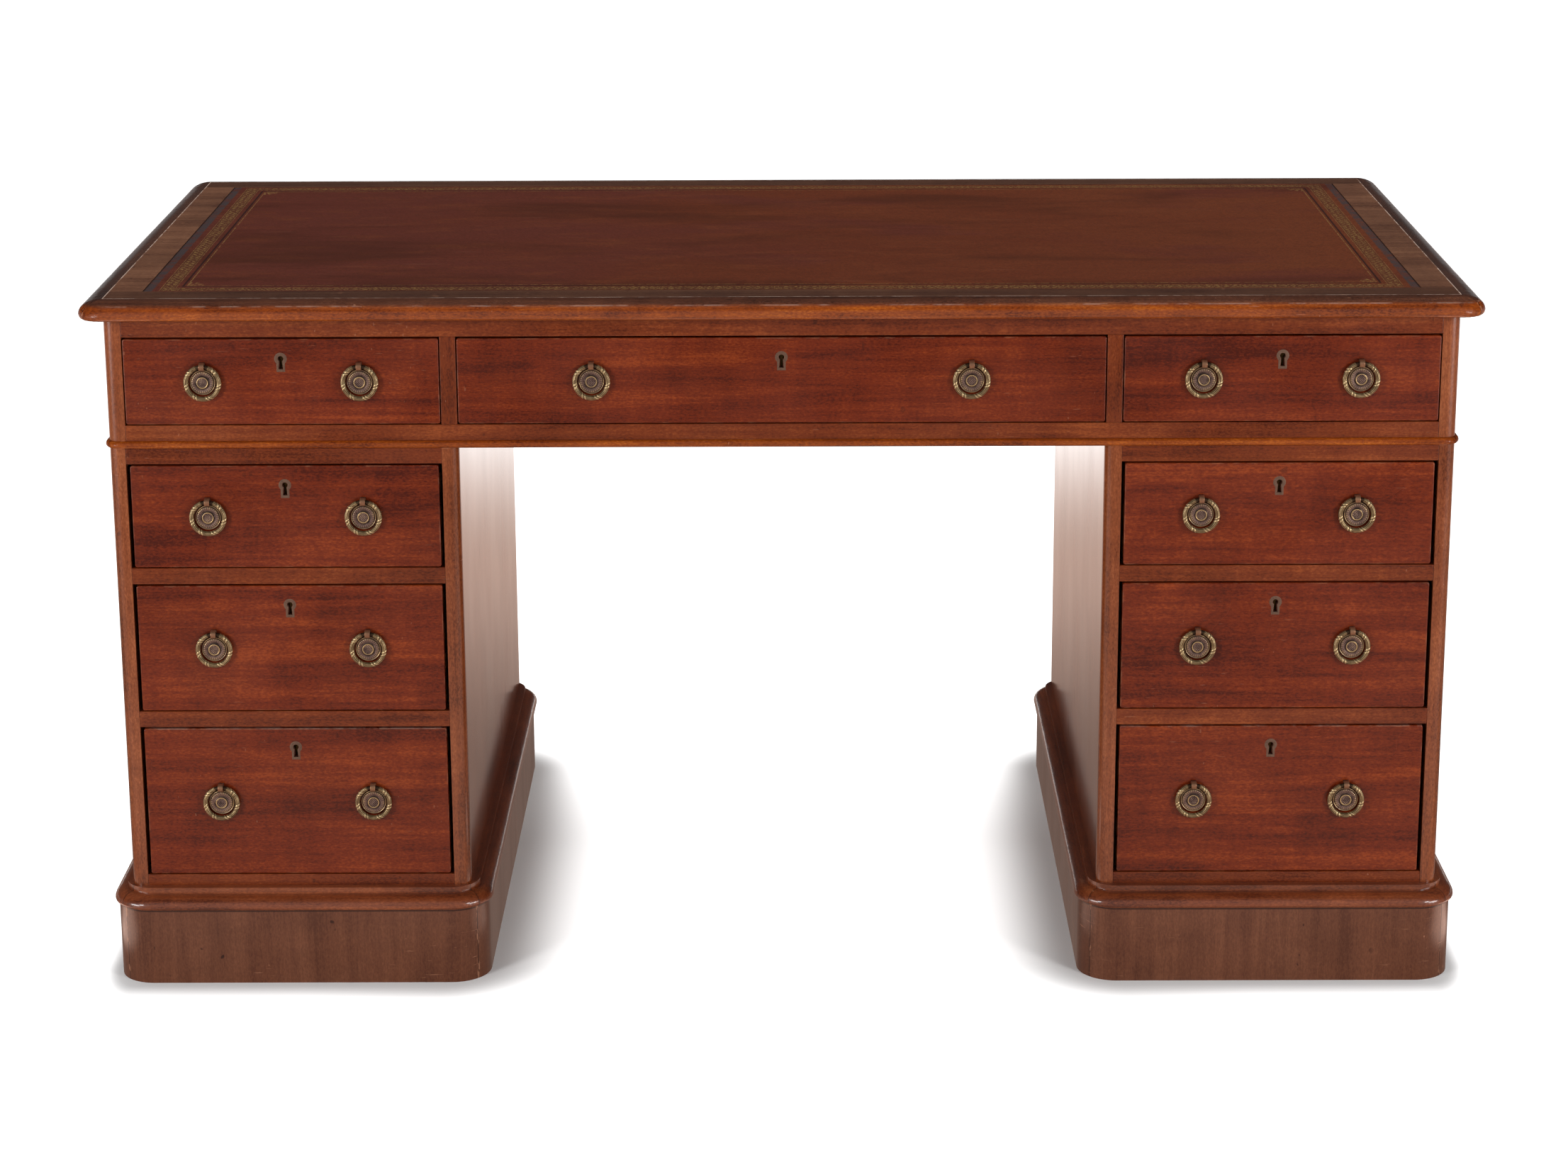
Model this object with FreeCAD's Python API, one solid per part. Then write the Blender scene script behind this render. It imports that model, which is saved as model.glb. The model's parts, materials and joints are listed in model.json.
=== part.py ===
import FreeCAD
import Part
import math
import os

# Pedestal desk: a leather-topped frieze with three drawers lifts off two pedestals of three drawers.
# Millimetres, +Z up, front towards -Y, origin on the floor under the middle of the top.

# Carcase, in plan
pedestal_width = 384.0
kneehole_width = 708.0
carcase_depth = 711.0
side_thickness = 18.5           # pedestal sides
frieze_end_thickness = 20.0
corner_radius = 12.0            # upright corners of the pedestals and the frieze
pedestal_back_thickness = 14.0
frieze_back_thickness = 21.0
partition_thickness = 17.5      # between the frieze drawers

# Heights, from the floor up
plinth_board_height = 88.5
plinth_moulding_height = 22.5
bottom_rail_show = 13.0         # bottom rail above the plinth
bottom_drawer_opening = 176.0
middle_drawer_opening = 148.5
top_drawer_opening = 119.0
drawer_rail_height = 18.5       # between two drawers of a pedestal
pedestal_top_thickness = 18.0
frieze_bottom_rail_height = 26.0
frieze_drawer_opening = 98.5
frieze_top_rail_height = 22.0
top_thickness = 21.0

# Top
top_overhang = 24.5
nose_width = 26.0               # moulded edge, from its seam to the nose
nose_fall = 15.0                # drop of its long upper curve
nose_under_width = 6.0          # small round below the nose
border_width = 37.0             # cross-grained border between the edge and the leather
border_thickness = 2.0
leather_thickness = 1.6

# Bead round the foot of the frieze
bead_height = 8.5
bead_proud = 4.25

# Plinths
plinth_thickness = 19.0
plinth_corner_radius = 42.0
moulding_fillet_width = 8.5
moulding_fillet_height = 7.0
moulding_quirk = 1.5            # flat between the fillet and the round
moulding_lip = 4.5              # moulding stands this far past the plinth board
moulding_under = 3.5            # small round below the moulding
side_floor_gap = 4.0            # pedestal sides stop short of the floor, inside the plinth

# Rails, runners and stops
rail_depth = 60.0
bottom_rail_hidden = 21.0       # bottom rail behind the plinth moulding
bottom_board_thickness = 14.0
runner_width = 22.0
stop_width = 40.0
stop_height = 5.0
stop_depth = 12.0
stop_place_share = 0.25         # of the opening's width, each way from its middle

# Dowels that locate the frieze on the pedestals
dowel_radius = 5.0
dowel_length = 26.0
dowel_clearance = 0.15
dowel_setback = 105.0           # from the front and from the back

# Drawers
drawer_front_thickness = 20.0
frieze_drawer_side_gap = 1.1
pedestal_drawer_side_gap = 4.0  # worn loose in their openings
drawer_top_gap = 2.0
drawer_bottom_gap = 1.0
front_edge_round = 1.4
front_corner_round = 2.4
drawer_side_thickness = 9.5
drawer_side_drop = 3.0          # sides end below the top of the front
drawer_back_thickness = 9.5
drawer_back_drop = 9.0          # back ends below the top of the sides
drawer_bottom_thickness = 6.0
drawer_bottom_rise = 9.0        # drawer bottom above the running edge
side_groove_depth = 4.5
front_groove_depth = 6.0
drawer_back_room = 26.0         # free space behind a closed drawer
tail_length = 14.0
tail_pitch = 34.0
tail_flare = 2.2
tail_root_share = 0.5           # of the pitch of the dovetails

# Ring handles
handle_offset = 85.5            # from the middle of a short drawer
long_drawer_handle_offset = 207.0
ring_radius = 18.0              # to the middle of the wire
ring_wire_radius = 2.55
ring_standoff = 4.8             # middle of the wire in front of the drawer
ring_plate_clearance = 1.25
plate_flange_thickness = 1.8
plate_disc_radius = 12.2
plate_disc_height = 3.8
plate_boss_radius = 5.8
plate_boss_height = 5.0
eye_width = 6.4
eye_clearance = 0.7
eye_wall = 1.5
shank_radius = 2.5
shank_clearance = 0.2
shank_past_nut = 2.0
nut_width = 12.0
nut_thickness = 4.0

# Locks and keyholes
keyhole_drop = 22.0             # middle of the round part, below the top of the drawer front
keyhole_radius = 3.0
keyhole_slot_width = 2.9
keyhole_height = 14.5
escutcheon_head_radius = 6.9
escutcheon_body_width = 9.3
escutcheon_height = 21.5
escutcheon_depth = 4.0
lock_width = 52.0
lock_height = 40.0
lock_depth = 9.0
lock_plate_width = 60.0
lock_plate_thickness = 2.0

# Cuts run this far past the faces that they open
overrun = 5.0

# Turn of a corner and of its mitre in degrees, and the weight that makes a curve round
corner_turn = 90.0
mitre_turn = 45.0
round_weight_share = math.sqrt(0.5)

# Places worked out from the sizes
half_width = pedestal_width + kneehole_width / 2
half_depth = carcase_depth / 2
front_y = -half_depth
plinth_height = plinth_board_height + plinth_moulding_height
bottom_rail_top = plinth_height + bottom_rail_show
middle_rail_bottom = bottom_rail_top + bottom_drawer_opening
middle_rail_top = middle_rail_bottom + drawer_rail_height
upper_rail_bottom = middle_rail_top + middle_drawer_opening
upper_rail_top = upper_rail_bottom + drawer_rail_height
pedestal_top_bottom = upper_rail_top + top_drawer_opening
frieze_bottom = pedestal_top_bottom + pedestal_top_thickness
frieze_rail_top = frieze_bottom + frieze_bottom_rail_height
frieze_opening_top = frieze_rail_top + frieze_drawer_opening
top_bottom = frieze_opening_top + frieze_top_rail_height
desk_height = top_bottom + top_thickness
rail_back_y = front_y + rail_depth
front_back_y = front_y + drawer_front_thickness
pedestal_back_y = half_depth - pedestal_back_thickness
frieze_back_y = half_depth - frieze_back_thickness
frieze_inner = half_width - frieze_end_thickness
pedestal_centre = (half_width + kneehole_width / 2) / 2
pedestal_opening = pedestal_width - 2 * side_thickness
partition_centre = kneehole_width / 2 + side_thickness / 2
partition_inner = partition_centre - partition_thickness / 2
partition_outer = partition_centre + partition_thickness / 2
plate_radius = ring_radius - ring_wire_radius - ring_plate_clearance
eye_hole_radius = ring_wire_radius + eye_clearance
eye_radius = eye_hole_radius + eye_wall

origin = FreeCAD.Vector(0, 0, 0)
up = FreeCAD.Vector(0, 0, 1)
across = FreeCAD.Vector(1, 0, 0)
inwards = FreeCAD.Vector(0, 1, 0)


def block(x0, x1, y0, y1, z0, z1):
    return Part.makeBox(x1 - x0, y1 - y0, z1 - z0, FreeCAD.Vector(x0, y0, z0))


def fused(first, *others):
    return first.multiFuse(list(others)).removeSplitter()


def slab(points, direction):
    """A flat outline pushed out along a direction."""
    return Part.Face(Part.makePolygon(points + points[:1])).extrude(direction)


def edges_along(solid, direction):
    """The straight edges of a block that run along a direction."""
    def runs_along(edge):
        return abs(edge.tangentAt(edge.FirstParameter).dot(direction)) > round_weight_share

    return [edge for edge in solid.Edges if runs_along(edge)]


def rounded_prism(x_middle, half_x, z0, z1):
    """The outline of a carcase, with its upright corners rounded."""
    solid = block(x_middle - half_x, x_middle + half_x, -half_depth, half_depth, z0, z1)
    return solid.makeFillet(corner_radius, edges_along(solid, up))


def profile_face(x, y_face, start, steps):
    """A moulding's section at x. A point is (out, height); a corner and an end make a round."""
    def at(out, height):
        return FreeCAD.Vector(x, y_face - out, height)

    edges = []
    here = at(*start)
    for step in steps + [start]:
        there = at(*step[-2:])
        if len(step) > len(start):
            curve = Part.BezierCurve()
            curve.setPoles([here, at(*step[:2]), there])
            curve.setWeight(2, round_weight_share)
            edges.append(curve.toShape())
        else:
            edges.append(Part.LineSegment(here, there).toShape())
        here = there
    return Part.Face(Part.Wire(edges))


def mitred_run(half_x, half_y, inset, start, steps):
    """One length of moulding along the front of a rectangle, round half of each corner."""
    reach = half_x - inset
    left = profile_face(-reach, -half_y, start, steps)
    right = left.translated(across * (2 * reach))
    bar = left.extrude(across * (2 * reach))
    left_turn = left.revolve(FreeCAD.Vector(-reach, inset - half_y, 0), up, -mitre_turn)
    right_turn = right.revolve(FreeCAD.Vector(reach, inset - half_y, 0), up, mitre_turn)
    return fused(bar, left_turn, right_turn)


def mitred_frame(x_middle, half_x, half_y, inset, start, steps, core=None):
    """Four lengths of moulding round a rectangle, cut back to the carcase inside them."""
    runs = []
    for quarter in range(4):
        halves = (half_x, half_y) if quarter % 2 == 0 else (half_y, half_x)
        run = mitred_run(*halves, inset, start, steps)
        run.rotate(origin, up, quarter * corner_turn)
        run.translate(across * x_middle)
        runs.append(run.cut(core) if core else run)
    return runs


def save(name, *solids):
    shape = solids[0] if len(solids) == 1 else Part.makeCompound(list(solids))
    shape.exportStep("parts/" + name + ".step")


def border_strip(near, far, near_inner, far_inner, z0, z1):
    """One mitred strip of the border, from its outer edge to its inner edge."""
    points = [FreeCAD.Vector(x, y, z0) for x, y in (near, far, far_inner, near_inner)]
    return slab(points, up * (z1 - z0))


def make_top():
    seam_x = half_width + top_overhang - nose_width
    seam_y = half_depth + top_overhang - nose_width
    leather_x = seam_x - border_width
    leather_y = seam_y - border_width
    core_top = desk_height - border_thickness
    core = block(-seam_x, seam_x, -seam_y, seam_y, top_bottom, core_top)
    corner_signs = [(-1, -1), (1, -1), (1, 1), (-1, 1)]
    outer = [(sx * seam_x, sy * seam_y) for sx, sy in corner_signs]
    inner = [(sx * leather_x, sy * leather_y) for sx, sy in corner_signs]
    strips = []
    for n in range(4):
        m = (n + 1) % 4
        strips.append(border_strip(outer[n], outer[m], inner[n], inner[m], core_top, desk_height))
    save("top_board", core, *strips)

    edge_start = (0, top_bottom)
    edge_steps = [
        (nose_width - nose_under_width, top_bottom),
        (nose_width, top_bottom, nose_width, desk_height - nose_fall),
        (nose_width, desk_height, 0, desk_height),
    ]
    save("top_edge_moulding", *mitred_frame(0, seam_x, seam_y, 0, edge_start, edge_steps))

    leather_top = core_top + leather_thickness
    save("writing_leather", block(-leather_x, leather_x, -leather_y, leather_y, core_top, leather_top))


def dowel_places():
    """Middles of the dowels at the foot of the frieze: over every pedestal side, front and back."""
    outer_x = half_width - side_thickness / 2
    y = half_depth - dowel_setback
    return [(x, sy * y) for x in (-outer_x, -partition_centre, partition_centre, outer_x) for sy in (-1, 1)]


def dowel(place, radius, spare):
    start = FreeCAD.Vector(*place, frieze_bottom - dowel_length / 2 - spare)
    return Part.makeCylinder(radius, dowel_length + 2 * spare, start, up)


def drilled(solid):
    """A board with the dowel holes that lie in it."""
    for place in dowel_places():
        hole = dowel(place, dowel_radius + dowel_clearance, dowel_clearance)
        if solid.BoundBox.intersect(hole.BoundBox):
            solid = solid.cut(hole)
    return solid


def make_frieze():
    outline = rounded_prism(0, half_width, frieze_bottom, top_bottom)
    ends = []
    for side in (-1, 1):
        x0, x1 = sorted((side * frieze_inner, side * half_width))
        end = block(x0, x1, -half_depth, half_depth, frieze_bottom, top_bottom)
        ends.append(drilled(end.common(outline)))
    save("frieze_ends", *ends)
    back = block(-frieze_inner, frieze_inner, frieze_back_y, half_depth, frieze_bottom, top_bottom)
    save("frieze_back", back)

    bottom_rail = block(-frieze_inner, frieze_inner, front_y, rail_back_y, frieze_bottom, frieze_rail_top)
    top_rail = block(-frieze_inner, frieze_inner, front_y, rail_back_y, frieze_opening_top, top_bottom)
    partitions = []
    for side in (-1, 1):
        x0, x1 = sorted((side * partition_inner, side * partition_outer))
        muntin = block(x0, x1, front_y, rail_back_y, frieze_rail_top, frieze_opening_top)
        board = block(x0, x1, rail_back_y, frieze_back_y, frieze_bottom, top_bottom)
        partitions.append(drilled(fused(muntin, board)))
    save("frieze_front_frame", bottom_rail, top_rail, *partitions)

    bead_top = frieze_bottom + bead_height
    bead_middle = frieze_bottom + bead_height / 2
    bead_steps = [
        (bead_proud, frieze_bottom, bead_proud, bead_middle),
        (bead_proud, bead_top, 0, bead_top),
    ]
    bead_start = (0, frieze_bottom)
    save("frieze_bead", *mitred_frame(0, half_width, half_depth, corner_radius, bead_start, bead_steps))


def make_plinth(name, x_middle):
    """Four mitred boards with rounded corners, and the moulding that caps them."""
    half_x = pedestal_width / 2
    inset = plinth_corner_radius - plinth_thickness
    case = rounded_prism(x_middle, half_x, -overrun, plinth_height + overrun)
    board_start = (-inset, 0)
    board_steps = [
        (plinth_thickness, 0),
        (plinth_thickness, plinth_board_height),
        (-inset, plinth_board_height),
    ]
    boards = mitred_frame(x_middle, half_x, half_depth, inset, board_start, board_steps, case)
    nose = plinth_thickness + moulding_lip
    fillet_bottom = plinth_height - moulding_fillet_height
    moulding_start = (-inset, plinth_board_height)
    moulding_steps = [
        (nose - moulding_under, plinth_board_height),
        (nose, plinth_board_height, nose, plinth_board_height + moulding_under),
        (nose, fillet_bottom, moulding_fillet_width + moulding_quirk, fillet_bottom),
        (moulding_fillet_width, fillet_bottom),
        (moulding_fillet_width, plinth_height),
        (-inset, plinth_height),
    ]
    moulding = mitred_frame(x_middle, half_x, half_depth, inset, moulding_start, moulding_steps, case)
    save(name, *boards, *moulding)


def pedestal_inside(x_middle):
    return x_middle - pedestal_opening / 2, x_middle + pedestal_opening / 2


def make_pedestal_sides(name, x_middle):
    half_x = pedestal_width / 2
    outline = rounded_prism(x_middle, half_x, side_floor_gap, frieze_bottom)
    x0, x1 = pedestal_inside(x_middle)
    left = block(x_middle - half_x, x0, -half_depth, half_depth, side_floor_gap, frieze_bottom)
    right = block(x1, x_middle + half_x, -half_depth, half_depth, side_floor_gap, frieze_bottom)
    save(name, drilled(left.common(outline)), drilled(right.common(outline)))


def make_pedestal_backs():
    backs = []
    for x_middle in (-pedestal_centre, pedestal_centre):
        x0, x1 = pedestal_inside(x_middle)
        backs.append(block(x0, x1, pedestal_back_y, half_depth, side_floor_gap, frieze_bottom))
    save("pedestal_backs", *backs)


def make_pedestal_rails():
    """Top boards, the rails between drawers, bottom rails and bottom boards of both pedestals."""
    rail_bottom = plinth_height - bottom_rail_hidden
    board_top = rail_bottom + bottom_board_thickness
    rails = []
    for x_middle in (-pedestal_centre, pedestal_centre):
        x0, x1 = pedestal_inside(x_middle)
        rails.append(block(x0, x1, front_y, pedestal_back_y, pedestal_top_bottom, frieze_bottom))
        rails.append(block(x0, x1, front_y, rail_back_y, upper_rail_bottom, upper_rail_top))
        rails.append(block(x0, x1, front_y, rail_back_y, middle_rail_bottom, middle_rail_top))
        rails.append(block(x0, x1, front_y, rail_back_y, rail_bottom, bottom_rail_top))
        rails.append(block(x0, x1, rail_back_y, pedestal_back_y, rail_bottom, board_top))
    save("pedestal_rails", *rails)


def side_strips(x0, x1, back_y, z0, z1):
    """A runner or kicker along each side of an opening, behind its rail."""
    left = block(x0, x0 + runner_width, rail_back_y, back_y, z0, z1)
    right = block(x1 - runner_width, x1, rail_back_y, back_y, z0, z1)
    return [left, right]


def stops(x0, x1, floor):
    """Two blocks on the rail that meet the back of a closed drawer's front."""
    middle = (x0 + x1) / 2
    blocks = []
    for side in (-1, 1):
        x = middle + side * stop_place_share * (x1 - x0)
        low, high = x - stop_width / 2, x + stop_width / 2
        blocks.append(block(low, high, front_back_y, front_back_y + stop_depth, floor, floor + stop_height))
    return blocks


def make_runners(openings):
    board_top = plinth_height - bottom_rail_hidden + bottom_board_thickness
    runner_bottoms = {
        bottom_rail_top: board_top,
        middle_rail_top: middle_rail_bottom,
        upper_rail_top: upper_rail_bottom,
        frieze_rail_top: frieze_bottom,
    }
    strips = []
    for opening in openings:
        x0, x1 = opening["sides"]
        floor = opening["floor"]
        strips += side_strips(x0, x1, opening["back"], runner_bottoms[floor], floor)
        strips += stops(x0, x1, floor)
        if floor == frieze_rail_top:
            strips += side_strips(x0, x1, opening["back"], frieze_opening_top, top_bottom)
    save("drawer_runners", *strips)


def make_dowels():
    save("locating_dowels", *[dowel(place, dowel_radius, 0) for place in dowel_places()])


def keyhole_shape(x, z, y, depth, head, width, height):
    """A round head over a straight body, pushed inwards from y."""
    body = block(x - width / 2, x + width / 2, y, y + depth, z + head - height, z)
    return fused(Part.makeCylinder(head, depth, FreeCAD.Vector(x, y, z), inwards), body)


def dovetailed_side(x0, x1, z0, z1, y_end):
    """A drawer side with tails at its front end, spread evenly over its height."""
    count = max(1, round((z1 - z0) / tail_pitch))
    pitch = (z1 - z0) / count
    root = pitch * tail_root_share / 2
    y = front_back_y
    tip = y - tail_length
    outline = [(y_end, z0), (y, z0)]
    for n in range(count):
        middle = z0 + pitch * (n + 1 / 2)
        outline += [(y, middle - root), (tip, middle - root - tail_flare)]
        outline += [(tip, middle + root + tail_flare), (y, middle + root)]
    outline += [(y, z1), (y_end, z1)]
    return slab([FreeCAD.Vector(x0, py, pz) for py, pz in outline], across * (x1 - x0))


def handle_plate():
    """A stepped round backplate with its eye and shank, round the origin on the drawer's face."""
    heights = [
        (plate_radius, plate_flange_thickness),
        (plate_disc_radius, plate_disc_height),
        (plate_boss_radius, plate_boss_height),
    ]
    steps = [Part.makeCylinder(radius, height, origin, -inwards) for radius, height in heights]
    middle = FreeCAD.Vector(-eye_width / 2, -ring_standoff, ring_radius)
    barrel = Part.makeCylinder(eye_radius, eye_width, middle, across)
    low, high = ring_radius - eye_radius, ring_radius + eye_radius
    stem = block(-eye_width / 2, eye_width / 2, -ring_standoff, 0, low, high)
    shank_length = drawer_front_thickness + nut_thickness + shank_past_nut
    shank = Part.makeCylinder(shank_radius, shank_length, origin, inwards)
    hole = Part.makeCylinder(eye_hole_radius, eye_width + 2 * overrun, middle - across * overrun, across)
    return fused(*steps, barrel, stem, shank).cut(hole)


def handle_nut():
    half = nut_width / 2
    back = drawer_front_thickness
    nut = block(-half, half, back, back + nut_thickness, -half, half)
    thread_length = nut_thickness + 2 * overrun
    thread = Part.makeCylinder(shank_radius, thread_length, inwards * (back - overrun), inwards)
    return nut.cut(thread)


def make_drawer(opening, plate, nut):
    x0, x1 = opening["sides"]
    left, right = x0 + opening["gap"], x1 - opening["gap"]
    middle = (left + right) / 2
    floor = opening["floor"]
    low, high = floor + drawer_bottom_gap, opening["ceiling"] - drawer_top_gap
    box_back = opening["back"] - drawer_back_room
    side_top = high - drawer_side_drop

    # Lining: two dovetailed sides, a bottom let into grooves and a back that stands on it
    left_inner, right_inner = left + drawer_side_thickness, right - drawer_side_thickness
    bottom_z = floor + drawer_bottom_rise
    bottom_top = bottom_z + drawer_bottom_thickness
    bottom_front = front_back_y - front_groove_depth
    bottom_left, bottom_right = left_inner - side_groove_depth, right_inner + side_groove_depth
    bottom = block(bottom_left, bottom_right, bottom_front, box_back, bottom_z, bottom_top)
    sides = [
        dovetailed_side(left, left_inner, floor, side_top, box_back),
        dovetailed_side(right_inner, right, floor, side_top, box_back),
    ]
    sides = [side.cut(block(left, right, front_y, front_back_y, floor - overrun, low)) for side in sides]
    back_front = box_back - drawer_back_thickness
    back = block(left_inner, right_inner, back_front, box_back, bottom_top, side_top - drawer_back_drop)
    grooved = [side.cut(bottom) for side in sides]
    save(opening["name"] + "_drawer_box", *grooved, back, bottom)

    # Lock in the back of the front, keyhole through it, and the handles' middles
    key_z = high - keyhole_drop
    handle_z = (low + high) / 2
    half_lock, half_plate = lock_width / 2, lock_plate_width / 2
    case_front = front_back_y - lock_depth
    case = block(middle - half_lock, middle + half_lock, case_front, front_back_y, high - lock_height, high)
    plate_bottom = high - lock_plate_thickness
    cover = block(middle - half_plate, middle + half_plate, case_front, front_back_y, plate_bottom, high)
    lock = fused(case, cover)
    key_sizes = (keyhole_radius, keyhole_slot_width, keyhole_height)
    keyhole = keyhole_shape(middle, key_z, front_y - overrun, case_front - front_y + overrun, *key_sizes)
    rim_sizes = (escutcheon_head_radius, escutcheon_body_width, escutcheon_height)
    rim = keyhole_shape(middle, key_z, front_y, escutcheon_depth, *rim_sizes)
    handles = [FreeCAD.Vector(middle + s * opening["handles"], front_y, handle_z) for s in (-1, 1)]

    # Front, with its worn edges and everything that is let into it
    front = block(left, right, front_y, front_back_y, low, high)
    front = front.makeFillet(front_corner_round, edges_along(front, inwards))
    face = min(front.Faces, key=lambda f: f.CenterOfMass.y)
    front = front.makeFillet(front_edge_round, face.Edges)
    for tool in sides + [bottom, lock, rim, keyhole]:
        front = front.cut(tool)
    for place in handles:
        start = place - inwards * overrun
        length = drawer_front_thickness + 2 * overrun
        front = front.cut(Part.makeCylinder(shank_radius + shank_clearance, length, start, inwards))
    save(opening["name"] + "_drawer_front", front)

    fittings = [rim.cut(keyhole), lock]
    for place in handles:
        fittings += [plate.translated(place), nut.translated(place)]
    save(opening["name"] + "_drawer_brasses", *fittings)

    for hand, place in zip(("left", "right"), handles):
        ring = Part.makeTorus(ring_radius, ring_wire_radius, place - inwards * ring_standoff, inwards)
        save(opening["name"] + "_ring_" + hand, ring)


def drawer_openings():
    """Each opening's faces, the gap beside its drawer and its handles' distance from the middle."""
    places = [
        ("frieze_left", -frieze_inner, -partition_outer, handle_offset),
        ("frieze_centre", -partition_inner, partition_inner, long_drawer_handle_offset),
        ("frieze_right", partition_outer, frieze_inner, handle_offset),
    ]
    openings = []
    for name, x0, x1, handles in places:
        openings.append(dict(name=name, sides=(x0, x1), floor=frieze_rail_top, ceiling=frieze_opening_top,
                             back=frieze_back_y, gap=frieze_drawer_side_gap, handles=handles))
    levels = [
        ("top", upper_rail_top, pedestal_top_bottom),
        ("middle", middle_rail_top, upper_rail_bottom),
        ("bottom", bottom_rail_top, middle_rail_bottom),
    ]
    for hand, x_middle in (("left", -pedestal_centre), ("right", pedestal_centre)):
        for level, floor, ceiling in levels:
            openings.append(dict(name=hand + "_" + level, sides=pedestal_inside(x_middle), floor=floor,
                                 ceiling=ceiling, back=pedestal_back_y, gap=pedestal_drawer_side_gap,
                                 handles=handle_offset))
    return openings


os.makedirs("parts", exist_ok=True)
openings = drawer_openings()
make_top()
make_frieze()
make_plinth("left_plinth", -pedestal_centre)
make_plinth("right_plinth", pedestal_centre)
make_pedestal_sides("left_pedestal_sides", -pedestal_centre)
make_pedestal_sides("right_pedestal_sides", pedestal_centre)
make_pedestal_backs()
make_pedestal_rails()
make_runners(openings)
make_dowels()
plate = handle_plate()
nut = handle_nut()
for opening in openings:
    make_drawer(opening, plate, nut)
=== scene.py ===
import json
import math

import bmesh
import bpy
import numpy as np
from mathutils import Matrix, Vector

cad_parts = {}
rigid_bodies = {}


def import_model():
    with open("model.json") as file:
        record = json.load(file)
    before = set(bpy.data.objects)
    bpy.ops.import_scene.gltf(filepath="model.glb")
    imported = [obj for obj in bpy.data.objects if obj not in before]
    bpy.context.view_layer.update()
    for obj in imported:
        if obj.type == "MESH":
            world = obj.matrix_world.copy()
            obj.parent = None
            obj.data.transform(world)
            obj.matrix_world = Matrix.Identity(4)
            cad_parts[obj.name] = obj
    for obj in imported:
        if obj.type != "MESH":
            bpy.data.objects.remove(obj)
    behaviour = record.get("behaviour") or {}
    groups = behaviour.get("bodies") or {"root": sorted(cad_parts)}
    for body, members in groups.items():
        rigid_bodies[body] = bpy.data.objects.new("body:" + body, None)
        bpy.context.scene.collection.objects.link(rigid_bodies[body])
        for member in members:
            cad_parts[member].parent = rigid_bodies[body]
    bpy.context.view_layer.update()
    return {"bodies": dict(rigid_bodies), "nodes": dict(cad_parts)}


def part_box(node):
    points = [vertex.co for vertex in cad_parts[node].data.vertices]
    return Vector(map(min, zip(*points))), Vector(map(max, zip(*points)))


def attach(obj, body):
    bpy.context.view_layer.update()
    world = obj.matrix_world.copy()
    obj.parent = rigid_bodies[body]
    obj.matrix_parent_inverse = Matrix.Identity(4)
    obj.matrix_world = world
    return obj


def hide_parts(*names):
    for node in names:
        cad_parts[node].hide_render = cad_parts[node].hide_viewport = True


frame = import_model()
nodes = frame["nodes"]
scene = bpy.context.scene
mm = 0.001
fullTurn = 2 * math.pi
drawerNames = sorted(name[:-len("_drawer")] for name in frame["bodies"] if name.endswith("_drawer"))
print("frame loaded:", len(nodes), "nodes,", len(drawerNames), "drawers")


# Meshes

# quads between the points of a grid, rows by columns, closed round where asked
def gridFaces(rows, columns, closeRows=False, closeColumns=False):
    index = np.arange(rows * columns).reshape(rows, columns)
    if closeRows:
        index = np.vstack([index, index[:1]])
    if closeColumns:
        index = np.hstack([index, index[:, :1]])
    return np.stack([index[:-1, :-1], index[:-1, 1:], index[1:, 1:], index[1:, :-1]], -1).reshape(-1, 4)


# one closed form of a piece: points, blocks of faces, the number of its finish, and attributes by name
def form(points, faces, finish=0, **layers):
    points = np.asarray(points, float).reshape(-1, 3)
    return {"points": points, "faces": faces, "finish": finish, "layers": layers}


blockCard = {"boardShift": (0.37, 0.19, 0.23), "arrisShare": 0.25}


# A block with rounded edges: the points of a box's faces are pulled to within the radius of an inner box.
# Lines towards an edge stand at the radius times the tangent of equal angles up to 45 degrees.
def roundedBlock(low, high, radius, finish=0, grain=0, board=0.0, steps=3):
    low, high = np.array(low, float), np.array(high, float)
    half, middle = (high - low) / 2, (high + low) / 2
    rise = radius * np.tan(np.linspace(0, math.pi / 4, steps + 1))
    lines = [np.concatenate([radius - size - rise[::-1], size - radius + rise]) for size in half]
    flats, faces = [], []
    for axis in range(3):
        across, up = (axis + 1) % 3, (axis + 2) % 3
        first, second = np.meshgrid(lines[across], lines[up], indexing="ij")
        for side in (-1, 1):
            flat = np.empty(first.shape + (3,))
            flat[..., axis] = side * half[axis]
            flat[..., across] = first
            flat[..., up] = second
            faces.append(gridFaces(*first.shape) + first.size * len(flats))
            flats.append(flat.reshape(-1, 3))
    flat = np.concatenate(flats)
    core = np.clip(flat, radius - half, half - radius)
    normal = (flat - core) / np.linalg.norm(flat - core, axis=1, keepdims=True)
    points = core + radius * normal
    _, kept, same = np.unique(np.round(points, 7), axis=0, return_index=True, return_inverse=True)
    points, normal = points[kept] + middle, normal[kept]
    order = [grain, (grain + 1) % 3, (grain + 2) % 3]
    layers = {
        "normalAt": normal,
        "grainAt": points[:, order] + board * np.array(blockCard["boardShift"]),
        "edgeAt": np.clip((1 - np.abs(normal).max(axis=1)) / blockCard["arrisShare"], 0, 1),
    }
    return form(points, [same.ravel()[np.concatenate(faces)]], finish, **layers)


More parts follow.
